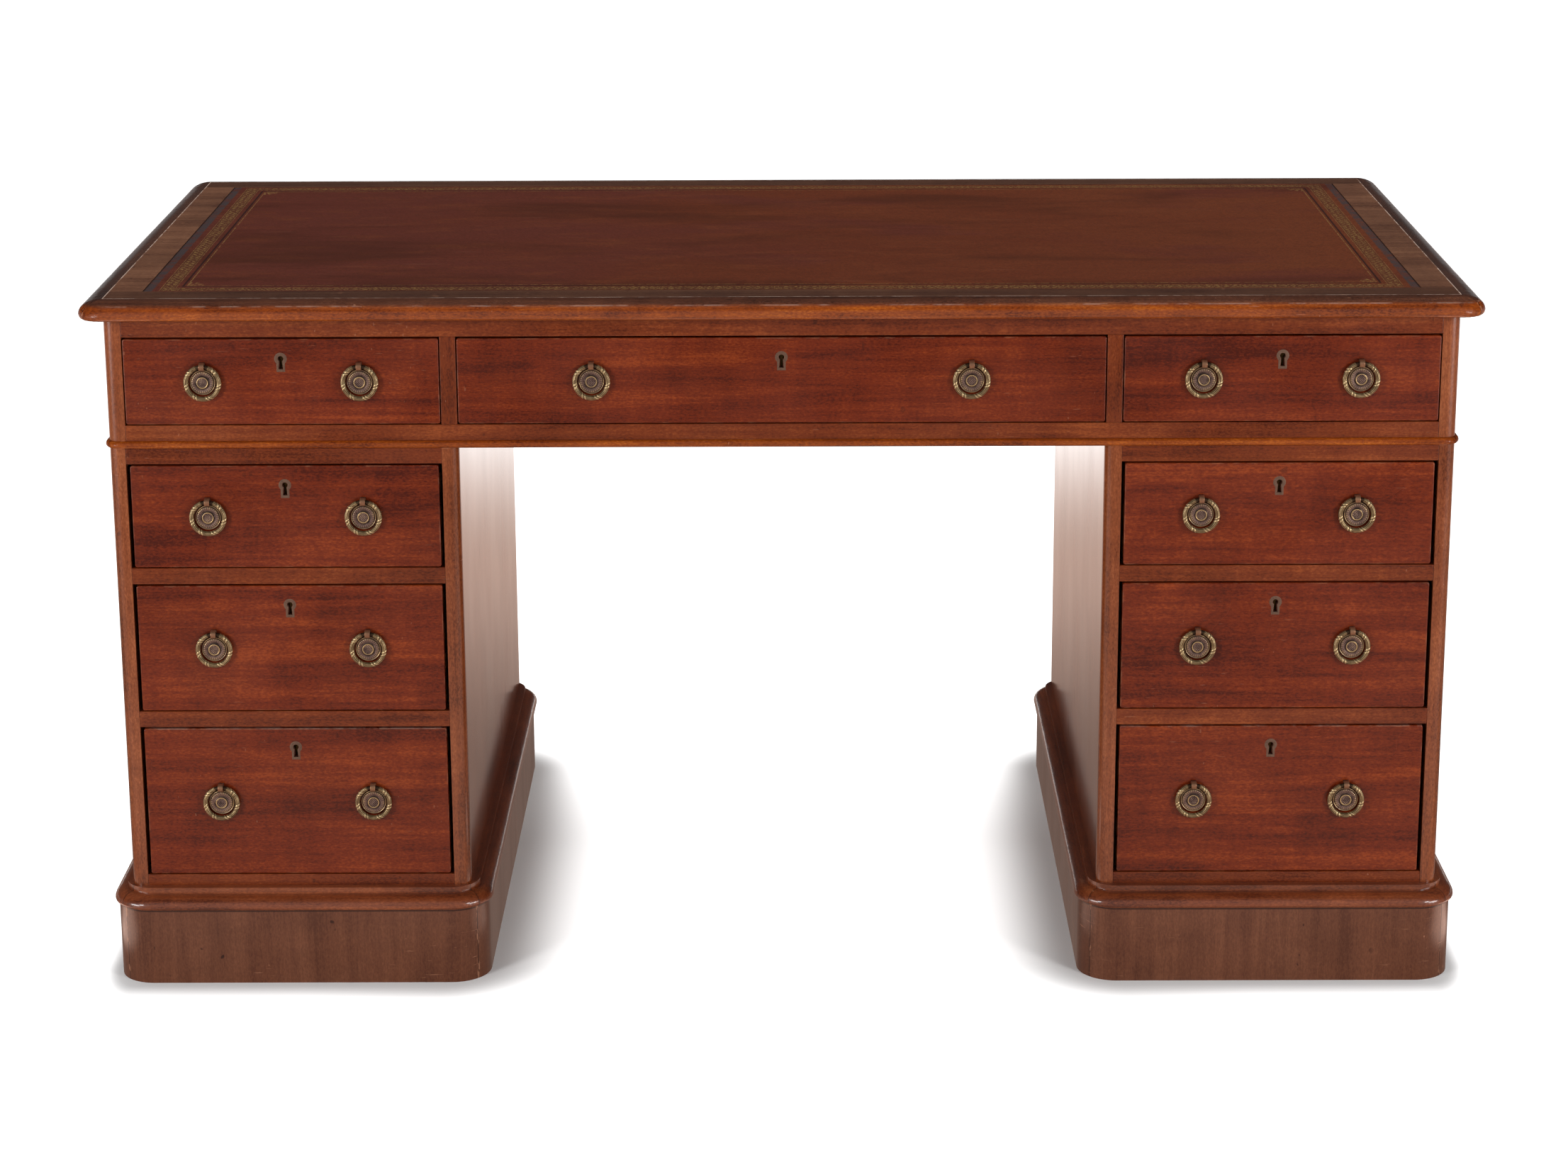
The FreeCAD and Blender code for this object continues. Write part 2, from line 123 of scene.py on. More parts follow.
# A turned form about an axis along Y: each row of the grid is a circle of the profile's radius at its height,
# and the two ends of the profile are closed with a cap.
def turned(centre, radii, heights, count, finish=0, **layers):
    angle = np.arange(count) * fullTurn / count
    x = radii[:, None] * np.sin(angle)
    z = radii[:, None] * np.cos(angle)
    y = np.broadcast_to(heights, (count, len(radii))).T if np.ndim(heights) == 1 else heights
    points = np.stack([x, -y, z], -1) + centre
    last = (len(radii) - 1) * count
    caps = np.stack([np.arange(count), np.arange(count) + last])
    return form(points, [gridFaces(len(radii), count, closeColumns=True), caps], finish, **layers)


def putObject(name, data):
    item = bpy.data.objects.new(name, data)
    scene.collection.objects.link(item)
    return item


# a piece of one or more forms, with its finishes, the body it rides on and the nodes it stands for
def putPiece(name, forms, finishes, body, replaced=(), closed=True, sharp=None):
    mesh = bpy.data.meshes.new(name)
    starts = np.cumsum([0] + [len(shape["points"]) for shape in forms])
    points = np.concatenate([shape["points"] for shape in forms])
    blocks = [(block + start, shape["finish"])
              for shape, start in zip(forms, starts) for block in shape["faces"]]
    mesh.from_pydata(points, [], [face for block, _ in blocks for face in block.tolist()])
    for finish in finishes:
        mesh.materials.append(finish)
    numbers = np.concatenate([np.full(len(block), number) for block, number in blocks])
    mesh.polygons.foreach_set("material_index", numbers)
    for label in sorted({label for shape in forms for label in shape["layers"]}):
        width = 3 if label in ("grainAt", "normalAt") else 1
        kind, field = ("FLOAT_VECTOR", "vector") if width == 3 else ("FLOAT", "value")
        rows = [np.reshape(shape["layers"].get(label, np.zeros((len(shape["points"]), width))), (-1, width))
                for shape in forms]
        layer = mesh.attributes.new(label, kind, "POINT")
        layer.data.foreach_set(field, np.concatenate(rows).astype("f4").ravel())
    if closed:
        shell = bmesh.new()
        shell.from_mesh(mesh)
        bmesh.ops.recalc_face_normals(shell, faces=shell.faces)
        shell.to_mesh(mesh)
        shell.free()
    mesh.shade_smooth()
    if sharp:
        mesh.set_sharp_from_angle(angle=math.radians(sharp))
    if all("normalAt" in shape["layers"] for shape in forms):
        mesh.normals_split_custom_set_from_vertices(
            np.concatenate([shape["layers"]["normalAt"] for shape in forms]))
    piece = putObject(name, mesh)
    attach(piece, body)
    if replaced:
        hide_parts(*replaced)
    return piece


def cadPoints(node):
    vertices = nodes[node].data.vertices
    points = np.empty(len(vertices) * 3)
    vertices.foreach_get("co", points)
    return points.reshape(-1, 3)


def corners(node):
    return [np.array(corner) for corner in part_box(node)]


# Shader nodes

# an sRGB colour, 0 to 255 a channel, turned into the linear colour that a shader takes
def tone(red, green, blue):
    share = np.array([red, green, blue]) / 255
    linear = np.where(share <= 0.04045, share / 12.92, ((share + 0.055) / 1.055) ** 2.4)
    return (*linear.tolist(), 1.0)


# a linked socket or a plain value goes into an input
def feed(socket, value):
    if isinstance(value, bpy.types.NodeSocket):
        socket.id_data.links.new(value, socket)
    else:
        socket.default_value = value


# a shader node with its settings and its inputs, which are named or numbered
def addNode(tree, kind, values=None, **settings):
    node = tree.nodes.new("ShaderNode" + kind)
    for name, value in settings.items():
        setattr(node, name, value)
    for name, value in (values or {}).items():
        feed(node.inputs[name], value)
    return node


# a node in the tree of the sockets that it joins
def join(kind, values, **settings):
    tree = next(value.id_data for value in values.values() if isinstance(value, bpy.types.NodeSocket))
    return addNode(tree, kind, values, **settings)


def calc(operation, *terms):
    return join("Math", dict(enumerate(terms)), operation=operation).outputs[0]


def vectorCalc(operation, *terms):
    return join("VectorMath", dict(enumerate(terms)), operation=operation).outputs[0]


def minus(first, second):
    return calc("SUBTRACT", first, second)


# the product of several values
def times(first, *others):
    for other in others:
        first = calc("MULTIPLY", first, other)
    return first


# the largest of several values
def most(first, *others):
    for other in others:
        first = calc("MAXIMUM", first, other)
    return first


def split(vector):
    return join("SeparateXYZ", {0: vector}).outputs


# how far a place lies inside a half size, on either side of the middle
def inwards(half, place):
    return minus(half, calc("ABSOLUTE", place))


# a value carried smoothly from one range to another
def fade(value, low, high, start=0.0, end=1.0):
    values = {0: value, 1: low, 2: high, 3: start, 4: end}
    return join("MapRange", values, interpolation_type="SMOOTHSTEP").outputs[0]


# 1 within half the width of a place on a scale, 0 outside, with a soft edge
def band(value, middle, width, soft):
    away = calc("ABSOLUTE", minus(value, middle))
    return fade(away, width / 2 - soft / 2, width / 2 + soft / 2, 1.0, 0.0)


def blendValue(share, first, second):
    return join("Mix", {0: share, 2: first, 3: second}, data_type="FLOAT").outputs[0]


def blendVector(share, first, second):
    return join("Mix", {0: share, 4: first, 5: second}, data_type="VECTOR").outputs[1]


def blendColour(share, first, second):
    return join("Mix", {0: share, 6: first, 7: second}, data_type="RGBA").outputs[2]


# cloudy noise over stretched coordinates
def cloud(vector, stretch, detail=2.0, roughness=0.5, distortion=0.0):
    place = vectorCalc("MULTIPLY", vector, stretch)
    values = {"Vector": place, "Scale": 1.0, "Detail": detail, "Roughness": roughness,
              "Distortion": distortion}
    return join("TexNoise", values).outputs["Fac"]


# an empty node group with its sockets, their kinds by label
def newGroup(name, inputs, outputs):
    tree = bpy.data.node_groups.new(name, "ShaderNodeTree")
    for way, kinds in (("INPUT", inputs), ("OUTPUT", outputs)):
        for label, kind in kinds.items():
            tree.interface.new_socket(label, in_out=way, socket_type="NodeSocket" + kind)
    return tree, tree.nodes.new("NodeGroupInput").outputs, tree.nodes.new("NodeGroupOutput").inputs


def useGroup(group, values):
    return join("Group", values, node_tree=group).outputs


# an empty material with its principled shader and its object coordinates
def newMaterial(name):
    material = bpy.data.materials.new(name)
    material.use_nodes = True
    tree = material.node_tree
    place = addNode(tree, "TexCoord").outputs["Object"]
    return material, tree, tree.nodes["Principled BSDF"].inputs, place


def attribute(tree, name, output):
    return addNode(tree, "Attribute", attribute_name=name).outputs[output]


def bump(height, distance, strength=1.0):
    values = {"Height": height, "Distance": distance, "Strength": strength}
    return join("Bump", values).outputs["Normal"]


# Wood figure: each layer's share of the tone and its noise, and the levels between which tones change
figureCard = {
    "boardStep": (3.1, 1.7, 2.3),
    "layers": {
        "ribbon": (0.46, (2.4, 38, 38), 3.0, 0.55, 0.8), "streak": (0.26, (9, 260, 260), 3.0, 0.6),
        "blotch": (0.20, (6, 9, 9)), "mottle": (0.12, (46, 14, 14), 1.0),
        "fleck": (0.46, (260, 560, 560), 3.0, 0.65),
    },
    "pore": ((95, 1500, 1500), 1.0), "poreLevels": (0.60, 0.72),
    "darkToMiddle": (0.58, 0.77), "middleToLight": (0.74, 0.96),
    "streakHeight": 0.5, "roughness": (0.3, 0.7, -0.05, 0.06),
}


# ribbon bands, streaks and pores run along X, and a mottle crosses them
def makeWoodFigure(card=figureCard):
    tree, given, out = newGroup("wood figure", {
        "Vector": "Vector", "Board": "Float", "Dark": "Color", "Middle": "Color", "Light": "Color",
        "Pores": "Float",
    }, {"Color": "Color", "Height": "Float", "Roughness": "Float"})
    steps = {0: card["boardStep"], "Scale": given["Board"]}
    shift = join("VectorMath", steps, operation="SCALE").outputs[0]
    place = vectorCalc("ADD", given["Vector"], shift)
    layers, level = {}, 0.0
    for name, (share, *noise) in card["layers"].items():
        layers[name] = cloud(place, *noise)
        level = calc("MULTIPLY_ADD", layers[name], share, level)
    low = blendColour(fade(level, *card["darkToMiddle"]), given["Dark"], given["Middle"])
    high = blendColour(fade(level, *card["middleToLight"]), low, given["Light"])
    pores = fade(cloud(place, *card["pore"]), *card["poreLevels"])
    feed(out["Color"], blendColour(times(pores, given["Pores"]), high, given["Dark"]))
    streaks = times(layers["streak"], card["streakHeight"])
    feed(out["Height"], minus(streaks, pores))
    feed(out["Roughness"], fade(layers["blotch"], *card["roughness"]))
    return tree


boxInputs = {"Vector": "Vector", "Low": "Vector", "High": "Vector"}


# how far a point lies inside the nearer of each pair of a box's faces, along X, Y and Z
def insideBox(given):
    fromLow = vectorCalc("SUBTRACT", given["Vector"], given["Low"])
    fromHigh = vectorCalc("SUBTRACT", given["High"], given["Vector"])
    return split(vectorCalc("MINIMUM", fromLow, fromHigh))


# Closeness to the edges of a box: 1 on an edge, 0 from the reach inwards.
# Of the distances to the three pairs of faces the middle one is the distance to the nearest edge.
def makeEdgeOfBox():
    tree, given, out = newGroup("edge of box", {**boxInputs, "Reach": "Float"}, {"Edge": "Float"})
    x, y, z = insideBox(given)
    inner = calc("MINIMUM", calc("MAXIMUM", x, y), z)
    middle = calc("MAXIMUM", calc("MINIMUM", x, y), inner)
    feed(out["Edge"], fade(middle, 0.0, given["Reach"], 1.0, 0.0))
    return tree


runsCard = {"mitre": (0.0, 1.8 * mm, 1.0 * mm), "chipStrip": (0.0, 5 * mm, 3 * mm),
            "chips": ((330, 330, 75), 2.0, 0.6), "chipLevels": (0.54, 0.62)}


# Grain along the runs of a mitred frame: where a point is nearer to an end than to a long side,
# X and Y change places. The mitre is a line where both are as near, and chips break along it.
def makeGrainOfRuns(card=runsCard):
    tree, given, out = newGroup("grain of runs", boxInputs, {
        "Vector": "Vector", "Mitre": "Float", "Chips": "Float"})
    nearX, nearY, _ = insideBox(given)
    x, y, z = split(given["Vector"])
    swapped = join("CombineXYZ", {0: y, 1: x, 2: z}).outputs[0]
    atEnd = calc("LESS_THAN", nearX, nearY)
    feed(out["Vector"], blendVector(atEnd, given["Vector"], swapped))
    across = minus(nearX, nearY)
    feed(out["Mitre"], band(across, *card["mitre"]))
    broken = fade(cloud(given["Vector"], *card["chips"]), *card["chipLevels"])
    feed(out["Chips"], times(band(across, *card["chipStrip"]), broken))
    return tree


# Wear: for each mask its levels, those of the zones it keeps to, and its noise
wearCard = {
    "masks": {
        "Marks": ((0.76, 0.80), (0.52, 0.62), (230, 230, 120), 1.0),
        "Scratches": ((0.66, 0.76), (0.50, 0.66), (42, 42, 460), 2.0, 0.6),
        "Dents": ((0.74, 0.79), (0.48, 0.40), (95, 95, 70), 1.0),
    },
    "broken": ((60, 60, 60), 4.0, 0.65), "zone": ((7, 7, 7), 1.0), "grime": ((13, 13, 13), 3.0, 0.6),
    "rubbedLevels": (0.42, 0.60), "grimeLevels": (0.42, 0.72),
}


# an edge mask broken up by noise for rubbed polish, small marks in zones, and grime in soft patches
def makeWear(card=wearCard):
    tree, given, out = newGroup("wear", {
        "Vector": "Vector", "Edge": "Float", "Amount": "Float",
    }, dict.fromkeys(("Rubbed", *card["masks"], "Grime"), "Float"))
    place, amount = given["Vector"], given["Amount"]
    broken, zone, grime = (cloud(place, *card[name]) for name in ("broken", "zone", "grime"))
    rubbed = fade(times(given["Edge"], broken), *card["rubbedLevels"])
    feed(out["Rubbed"], times(rubbed, amount))
    for label, (levels, zoneLevels, *noise) in card["masks"].items():
        mask = times(fade(cloud(place, *noise), *levels), fade(zone, *zoneLevels))
        feed(out[label], times(mask, amount))
    feed(out["Grime"], fade(grime, *card["grimeLevels"]))
    return tree


woodFigure = makeWoodFigure()
edgeOfBox = makeEdgeOfBox()
grainOfRuns = makeGrainOfRuns()
wear = makeWear()

# the tones of the wood, from its dark streaks to its bright ones
woodTones = {
    "front": [tone(72, 22, 11), tone(110, 38, 14), tone(148, 62, 22)],
    "frame": [tone(78, 29, 13), tone(116, 49, 20), tone(152, 75, 33)],
    "edge": [tone(90, 34, 10), tone(140, 62, 14), tone(188, 98, 26)],
    "top": [tone(86, 51, 36), tone(118, 77, 55), tone(146, 101, 74)],
    # nose: the upper curve of the top's moulding, darker than its front face in the edge tones; the
    # difference is painted shade where the curve turns up
    "nose": [tone(54, 28, 18), tone(84, 47, 32), tone(112, 68, 46)],
    "side": [tone(92, 42, 21), tone(134, 67, 35), tone(168, 94, 54)],
    "plinth": [tone(86, 46, 30), tone(105, 60, 40), tone(124, 75, 51)],
    "moulding": [tone(82, 35, 18), tone(124, 60, 31), tone(160, 85, 46)],
    "oak": [tone(128, 86, 50), tone(168, 120, 76), tone(196, 150, 104)],
    "runner": [tone(120, 80, 48), tone(152, 108, 70), tone(180, 136, 92)],
}
# grime is the tone of dirt, dents, dark joints and the painted shade under a moulding's lip; pale is that of
# seams, dust and the painted highlight along the nose's arris
woodFinish = {
    "rubbed": tone(180, 124, 92), "grime": tone(44, 19, 13), "pale": tone(206, 180, 164),
    "bareShare": 0.7, "bareRoughness": 0.2, "grimeShare": 0.14, "mitreShare": 0.75, "jointShadeShare": 0.85,
    "jointShadeSoft": 0.4 * mm, "edgeReach": 4 * mm, "pores": 0.45, "bumpDepth": 0.03 * mm, "coatRoughness": 0.12,
    "lineRoughness": 0.7,
}
grainTurns = {"x": (0, 0, 0), "y": (0, 0, math.pi / 2), "z": (0, math.pi / 2, 0)}


def turnedPlace(place, axis):
    return join("Mapping", {"Vector": place, "Rotation": grainTurns[axis]}).outputs[0]


# a line that noise breaks up: the noise's pitch and detail, its levels, and the line's least and most share
def brokenLine(place, line, pitch, detail, levels, shares):
    noise = cloud(place, (pitch, pitch, pitch), detail, woodFinish["lineRoughness"])
    return times(line, fade(noise, *levels, *shares))


# Polished wood. The grain runs along an axis, along the runs of a mitred frame, or with the boards' own
# attribute. Below a height the tones and the coat may be others, with a dark joint line just under it that is
# partly painted shade under a moulding's lip, or a pale broken line just over it that is a painted highlight
# along an arris. A seam is a pale broken line along the box's outline in plan, and a dusty piece has such a
# line along its top edge.
def polishedWood(name, tones, board=0.0, grain="x", box=None, roughness=0.30, wornBy=0.5, coat=0.15,
                 lower=None, seam=None, relief=0.5, shine=0.3, dusty=None):
    material, tree, surface, place = newMaterial(name)
    x, y, z = split(place)
    lower = lower or {}
    dark, middle, light = woodTones[tones]
    mitre, jointAndShade, chips, pale = 0.0, 0.0, 0.0, 0.0
    if lower:
        above = fade(z, lower["below"], lower["below"] + lower["soft"])
        dark, middle, light = (blendColour(above, under, over) for under, over
                               in zip(woodTones[lower["tones"]], woodTones[tones]))
    # a dark joint line just under the height, partly painted shade under a moulding's lip
    if "line" in lower:
        line = band(z, lower["below"] - lower["line"], lower["line"], woodFinish["jointShadeSoft"])
        jointAndShade = times(line, woodFinish["jointShadeShare"])
    if grain == "board":
        along = attribute(tree, "grainAt", "Vector")
        edge = attribute(tree, "edgeAt", "Fac")
    else:
        ends = {"Vector": place, "Low": box[0], "High": box[1]}
        edge = useGroup(edgeOfBox, {**ends, "Reach": woodFinish["edgeReach"]})["Edge"]
    if grain in grainTurns:
        along = turnedPlace(place, grain)
    if grain == "runs":
        runs = useGroup(grainOfRuns, ends)
        along = runs["Vector"]
        mitre = times(runs["Mitre"], woodFinish["mitreShare"])
        if lower:
            chips = times(runs["Chips"], minus(1.0, above))
        if "upright" in lower:
            along = blendVector(above, turnedPlace(place, "z"), along)
    figure = useGroup(woodFigure, {
        "Vector": along, "Board": board, "Dark": dark, "Middle": middle, "Light": light,
        "Pores": woodFinish["pores"]})
    worn = useGroup(wear, {"Vector": place, "Edge": edge, "Amount": wornBy})
    # grime, dents and dark joints darken the wood, with painted shade under a moulding's lip
    dirtAndShade = most(times(worn["Grime"], woodFinish["grimeShare"]), worn["Dents"], mitre, jointAndShade)
    bare = most(worn["Rubbed"], worn["Marks"], worn["Scratches"], chips)
    bare = times(bare, woodFinish["bareShare"])
    if seam:
        inX, inY = inwards(box[1][0], x), inwards(box[1][1], y)
        # the seam also darkens strips along the box's front and back
        dirtAndShade = most(dirtAndShade, fade(inY, *seam["shade"]))
        line = fade(calc("MINIMUM", inX, inY), seam["wide"] / 2, seam["wide"], 1.0, 0.0)
        pale = brokenLine(place, line, *seam["broken"])
    # gleam: a pale broken line along an arris, a painted highlight
    if "gleam" in lower:
        line = band(z, *lower["gleam"])
        pale = brokenLine(place, line, *lower["broken"])
    if dusty:
        line = fade(minus(box[1][2], z), *dusty["line"])
        pale = brokenLine(place, line, *dusty["broken"])
    colour = blendColour(dirtAndShade, figure["Color"], woodFinish["grime"])
    colour = blendColour(bare, colour, woodFinish["rubbed"])
    feed(surface["Base Color"], blendColour(pale, colour, woodFinish["pale"]))
    rough = calc("ADD", figure["Roughness"], roughness)
    feed(surface["Roughness"], calc("MULTIPLY_ADD", bare, woodFinish["bareRoughness"], rough))
    surface["Specular IOR Level"].default_value = shine
    coated = fade(above, 0.0, 1.0, lower["coat"], coat) if "coat" in lower else coat
    feed(surface["Coat Weight"], coated)
    surface["Coat Roughness"].default_value = woodFinish["coatRoughness"]
    feed(surface["Normal"], bump(figure["Height"], woodFinish["bumpDepth"], relief))
    return material


# polish on a node that keeps its shape from the frame
def dress(node, name, tones, board, grain, **polish):
    box = [tuple(corner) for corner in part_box(node)]
    nodes[node].material_slots[0].material = polishedWood(name, tones, board, grain, box, **polish)


# Fronts, linings, sides, mouldings and plinths
boardSteps = {"front": 0.73, "lining": 0.41, "side": 0.31, "plinth": 0.5}
frontCard = {
    "polish": {"wornBy": 0.35, "coat": 0.1},
    "dusty": {"line": (0.48 * mm, 1.2 * mm, 1.0, 0.0),
              "broken": (36, 4.0, (0.42, 0.62), (0.0, 0.22))},
}
bareWood = {"wornBy": 0.2, "coat": 0.0}
sidePolish = {"roughness": 0.22, "coat": 1.0, "relief": 0.1, "shine": 0.2}
topCard = {
    "polish": {"roughness": 0.36, "coat": 0.25, "shine": 0.5},
    "seam": {"wide": 1.5 * mm, "shade": (34 * mm, 42 * mm, 0.56, 0.0),
             "broken": (45, 3.0, (0.40, 0.56), (0.15, 0.9))},
    "nosePolish": {"roughness": 0.26, "coat": 0.8},
    # below 783 mm the nose's front face takes the edge tones and above it the upper curve takes the darker
    # nose tones, painted shade; the gleam is a pale broken line along the upper arris, a painted highlight
    "nose": {"tones": "edge", "below": 783 * mm, "soft": 4 * mm,
             "gleam": (785 * mm, 1.0 * mm, 0.8 * mm),
             "broken": (30, 4.0, (0.46, 0.62), (0.0, 0.22))},
}
plinthCard = {
    "polish": {"roughness": 0.33, "wornBy": 0.9, "coat": 1.0},
    # the plinth boards below the moulding: their line is a dark joint, partly painted shade under the
    # moulding's lip
    "boards": {"tones": "plinth", "below": 88.5 * mm, "soft": 0.5 * mm, "line": 1.6 * mm, "upright": True,
               "coat": 0.6},
}
for number, drawer in enumerate(drawerNames):
    front, lining = drawer + "_drawer_front", drawer + "_drawer_box"
    dusty = frontCard["dusty"] if drawer.endswith("bottom") else None
    frontBoard = 1.0 + boardSteps["front"] * number
    dress(front, front + " mahogany", "front", frontBoard, "x", dusty=dusty, **frontCard["polish"])
    dress(lining, lining + " oak", "oak", boardSteps["lining"] * number, "y", roughness=0.6, **bareWood)
for node, tones, grain, polish in (
    ("frieze_ends", "side", "z", {"roughness": 0.30}),
    ("frieze_back", "side", "x", {"roughness": 0.34}),
    ("frieze_bead", "edge", "runs", {"roughness": 0.26}),
    ("pedestal_backs", "side", "z", {"roughness": 0.34}),
    ("left_pedestal_sides", "side", "z", sidePolish),
    ("right_pedestal_sides", "side", "z", sidePolish),
):
    dress(node, node + " mahogany", tones, boardSteps["side"] * len(node), grain, **polish)
dress("top_board", "top mahogany", "top", 2.1, "x", seam=topCard["seam"], **topCard["polish"])
dress("top_edge_moulding", "nose mahogany", "nose", 4.7, "runs", lower=topCard["nose"],
      **topCard["nosePolish"])
for node in ("left_plinth", "right_plinth"):
    dress(node, node + " mahogany", "moulding", boardSteps["plinth"] * len(node), "runs",
          lower=plinthCard["boards"], **plinthCard["polish"])
for node in ("drawer_runners", "locating_dowels"):
    dress(node, node + " wood", "runner", 0.2, "y", roughness=0.7, **bareWood)
print("wood on the fixed pieces, drawer fronts and linings")

# Rails, muntins and the pedestals' top and bottom boards: rounded blocks with worn arrises
railCard = {"round": 0.9 * mm, "corners": 24, "friezeBoards": (20, 21), "muntinBoards": (23, 24),
            "partitionBoards": (26, 27)}


# the plain boxes at the start of a node's mesh, each of 24 points
def plainBlocks(node, count):
    points = cadPoints(node)[:count * railCard["corners"]].reshape(count, -1, 3)
    return list(zip(points.min(axis=1), points.max(axis=1)))


def makeRails():
    finish = polishedWood("rail mahogany", "frame", 0.0, "board")
    radius = railCard["round"]
    count = len(nodes["pedestal_rails"].data.vertices) // railCard["corners"]
    rails = [roundedBlock(low, high, radius, board=number)
             for number, (low, high) in enumerate(plainBlocks("pedestal_rails", count))]
    putPiece("pedestalRails", rails, [finish], "desk", ["pedestal_rails"])

    bottomRail, topRail = plainBlocks("frieze_front_frame", 2)
    forms = [roundedBlock(low, high, radius, board=board)
             for (low, high), board in zip((bottomRail, topRail), railCard["friezeBoards"])]
    railBack, railTop, railAbove = bottomRail[1][1], bottomRail[1][2], topRail[0][2]
    rest = cadPoints("frieze_front_frame")[2 * railCard["corners"]:]
    for side, muntin, partition in zip((-1, 1), railCard["muntinBoards"], railCard["partitionBoards"]):
        points = rest[rest[:, 0] * side > 0]
        low, high = points.min(axis=0), points.max(axis=0)
        muntinLow, muntinHigh = (low[0], low[1], railTop), (high[0], railBack, railAbove)
        forms.append(roundedBlock(muntinLow, muntinHigh, radius, grain=2, board=muntin))
        forms.append(roundedBlock((low[0], railBack, low[2]), high, radius, grain=1, board=partition))
    putPiece("friezeFrontFrame", forms, [finish], "desk", ["frieze_front_frame"])


makeRails()
print("rails and muntins")

# Brass. The ring is a wire bent round, reeded, with ribbon ties crossed over it.
ringCard = {
    "wire": 2.35 * mm, "reeds": 9, "reedRise": 0.32 * mm, "hollowBright": 0.05, "reedBright": 0.7,
    "tieRise": 0.45 * mm, "tieWidth": 1.0 * mm, "tieApart": 1.7 * mm, "tieLean": 0.55, "tieSpan": 2.2,
    "tiesAt": (46, 104, 158, 208, 256, 308), "plainTop": 0.34, "castFade": 0.06, "steps": (256, 36),
}
# the backplate's profile from its middle outwards, in mm: radius, height and how bright its metal is rubbed
plateCard = {
    "profile": [
        (0.05, 4.2, 0.35), (1.0, 4.2, 0.35), (2.0, 4.2, 0.35), (3.0, 4.2, 0.35), (4.0, 4.2, 0.35),
        (5.0, 4.2, 0.35), (5.25, 4.85, 0.9), (5.8, 5.0, 1.0), (6.35, 4.85, 0.9), (6.6, 3.4, 0.1),
        (7.1, 3.2, 0.1), (7.5, 3.5, 0.6), (7.9, 3.25, 0.2), (8.8, 3.45, 0.4), (9.4, 3.55, 0.5),
        (11.2, 3.7, 0.6), (11.8, 3.5, 0.8), (12.15, 3.0, 0.7), (12.3, 2.2, 0.2), (12.8, 2.45, 0.55),
        (13.3, 2.7, 0.95), (13.75, 2.5, 0.85), (14.05, 1.9, 0.5), (14.2, 0.9, 0.1), (14.2, 0.0, 0.0),
        (0.05, 0.0, 0.0),
    ],
    "gadroons": 30, "gadroonRise": 0.22, "gadroonFrom": 9.0, "gadroonTo": 12.0, "gadroonMiddle": 0.6,
    "rosettePitch": 2.1, "rosetteRise": 0.5, "rosetteTo": 5.0, "gadroonBright": 0.5, "rosetteBright": 0.45,
    "around": 120, "sharp": 38,
}
eyeCard = {
    "standoff": 4.8 * mm, "hole": 3.25 * mm, "outer": 4.75 * mm, "width": 5.8 * mm, "squareness": 0.4,
    "stemShare": 0.93, "stemOut": 1.5 * mm, "stemRound": 0.3 * mm, "bright": 0.6, "steps": (48, 24),
}
shankCard = {
    "tip": 0.0005 * mm, "radius": 2.5 * mm, "length": 26 * mm, "around": 24,
    "nut": 12 * mm, "nutFrom": 20 * mm, "nutTo": 24 * mm, "nutRound": 0.5 * mm,
}
keyholeCard = {
    "drop": 22 * mm, "head": 3.1 * mm, "slot": 3.0 * mm, "slotFoot": 5.0 * mm, "height": 14.8 * mm,
    "rimHead": 6.9 * mm, "rimBody": 9.3 * mm, "rimHeight": 21.5 * mm, "rimDepth": 4.0 * mm,
    "proud": 0.15 * mm, "around": 144,
}
lockCard = {
    "width": 52 * mm, "height": 40 * mm, "depth": 9 * mm, "round": 0.4 * mm,
    "plate": 60 * mm, "plateThick": 2 * mm, "plateRound": 0.3 * mm, "frontThick": 20 * mm,
}


# an angle brought to between minus and plus half a turn
def wrapped(angle):
    return (angle + math.pi) % fullTurn - math.pi


# Ring: circle angle u runs clockwise from the top and tube angle v from the outside to the front.
# The tube's radius is the wire's, plus a reed's rounded ridges, plus ties: two ridges that slant across it.
def makeRing(node, body, finish, card=ringCard):
    low, high = corners(node)
    centre = (low + high) / 2
    radius = (high[0] - low[0]) / 2 - (high[1] - low[1]) / 2
    around, section = card["steps"]
    u = (np.arange(around) * fullTurn / around)[:, None]
    v = (np.arange(section) * fullTurn / section)[None, :]
    cast = np.clip((np.abs(wrapped(u)) - card["plainTop"]) / card["castFade"], 0, 1)
    reed = np.abs(np.cos(v * card["reeds"] / 2)) * cast
    across = wrapped(v - math.pi / 2)
    tie = np.zeros((around, section))
    for place in np.radians(card["tiesAt"]):
        run = wrapped(u - place) * radius
        for side in (-1, 1):
            gap = run - side * card["tieApart"] - card["tieLean"] * across * card["wire"]
            ridge = np.exp(-(gap / card["tieWidth"]) ** 4) * (np.abs(across) < card["tieSpan"])
            tie = np.maximum(tie, ridge)
    reed = reed * (1 - tie)
    thick = card["wire"] + np.maximum(card["reedRise"] * reed, card["tieRise"] * tie)
    relief = np.maximum(card["hollowBright"] + card["reedBright"] * reed, tie)
    out = radius + thick * np.cos(v)
    points = np.stack([out * np.sin(u), -thick * np.sin(v), out * np.cos(u)], -1) + centre
    shape = form(points, [gridFaces(around, section, True, True)], 0, reliefAt=relief.ravel())
    putPiece(body.replace("_", "-"), [shape], [finish], body, [node])
    return centre, radius


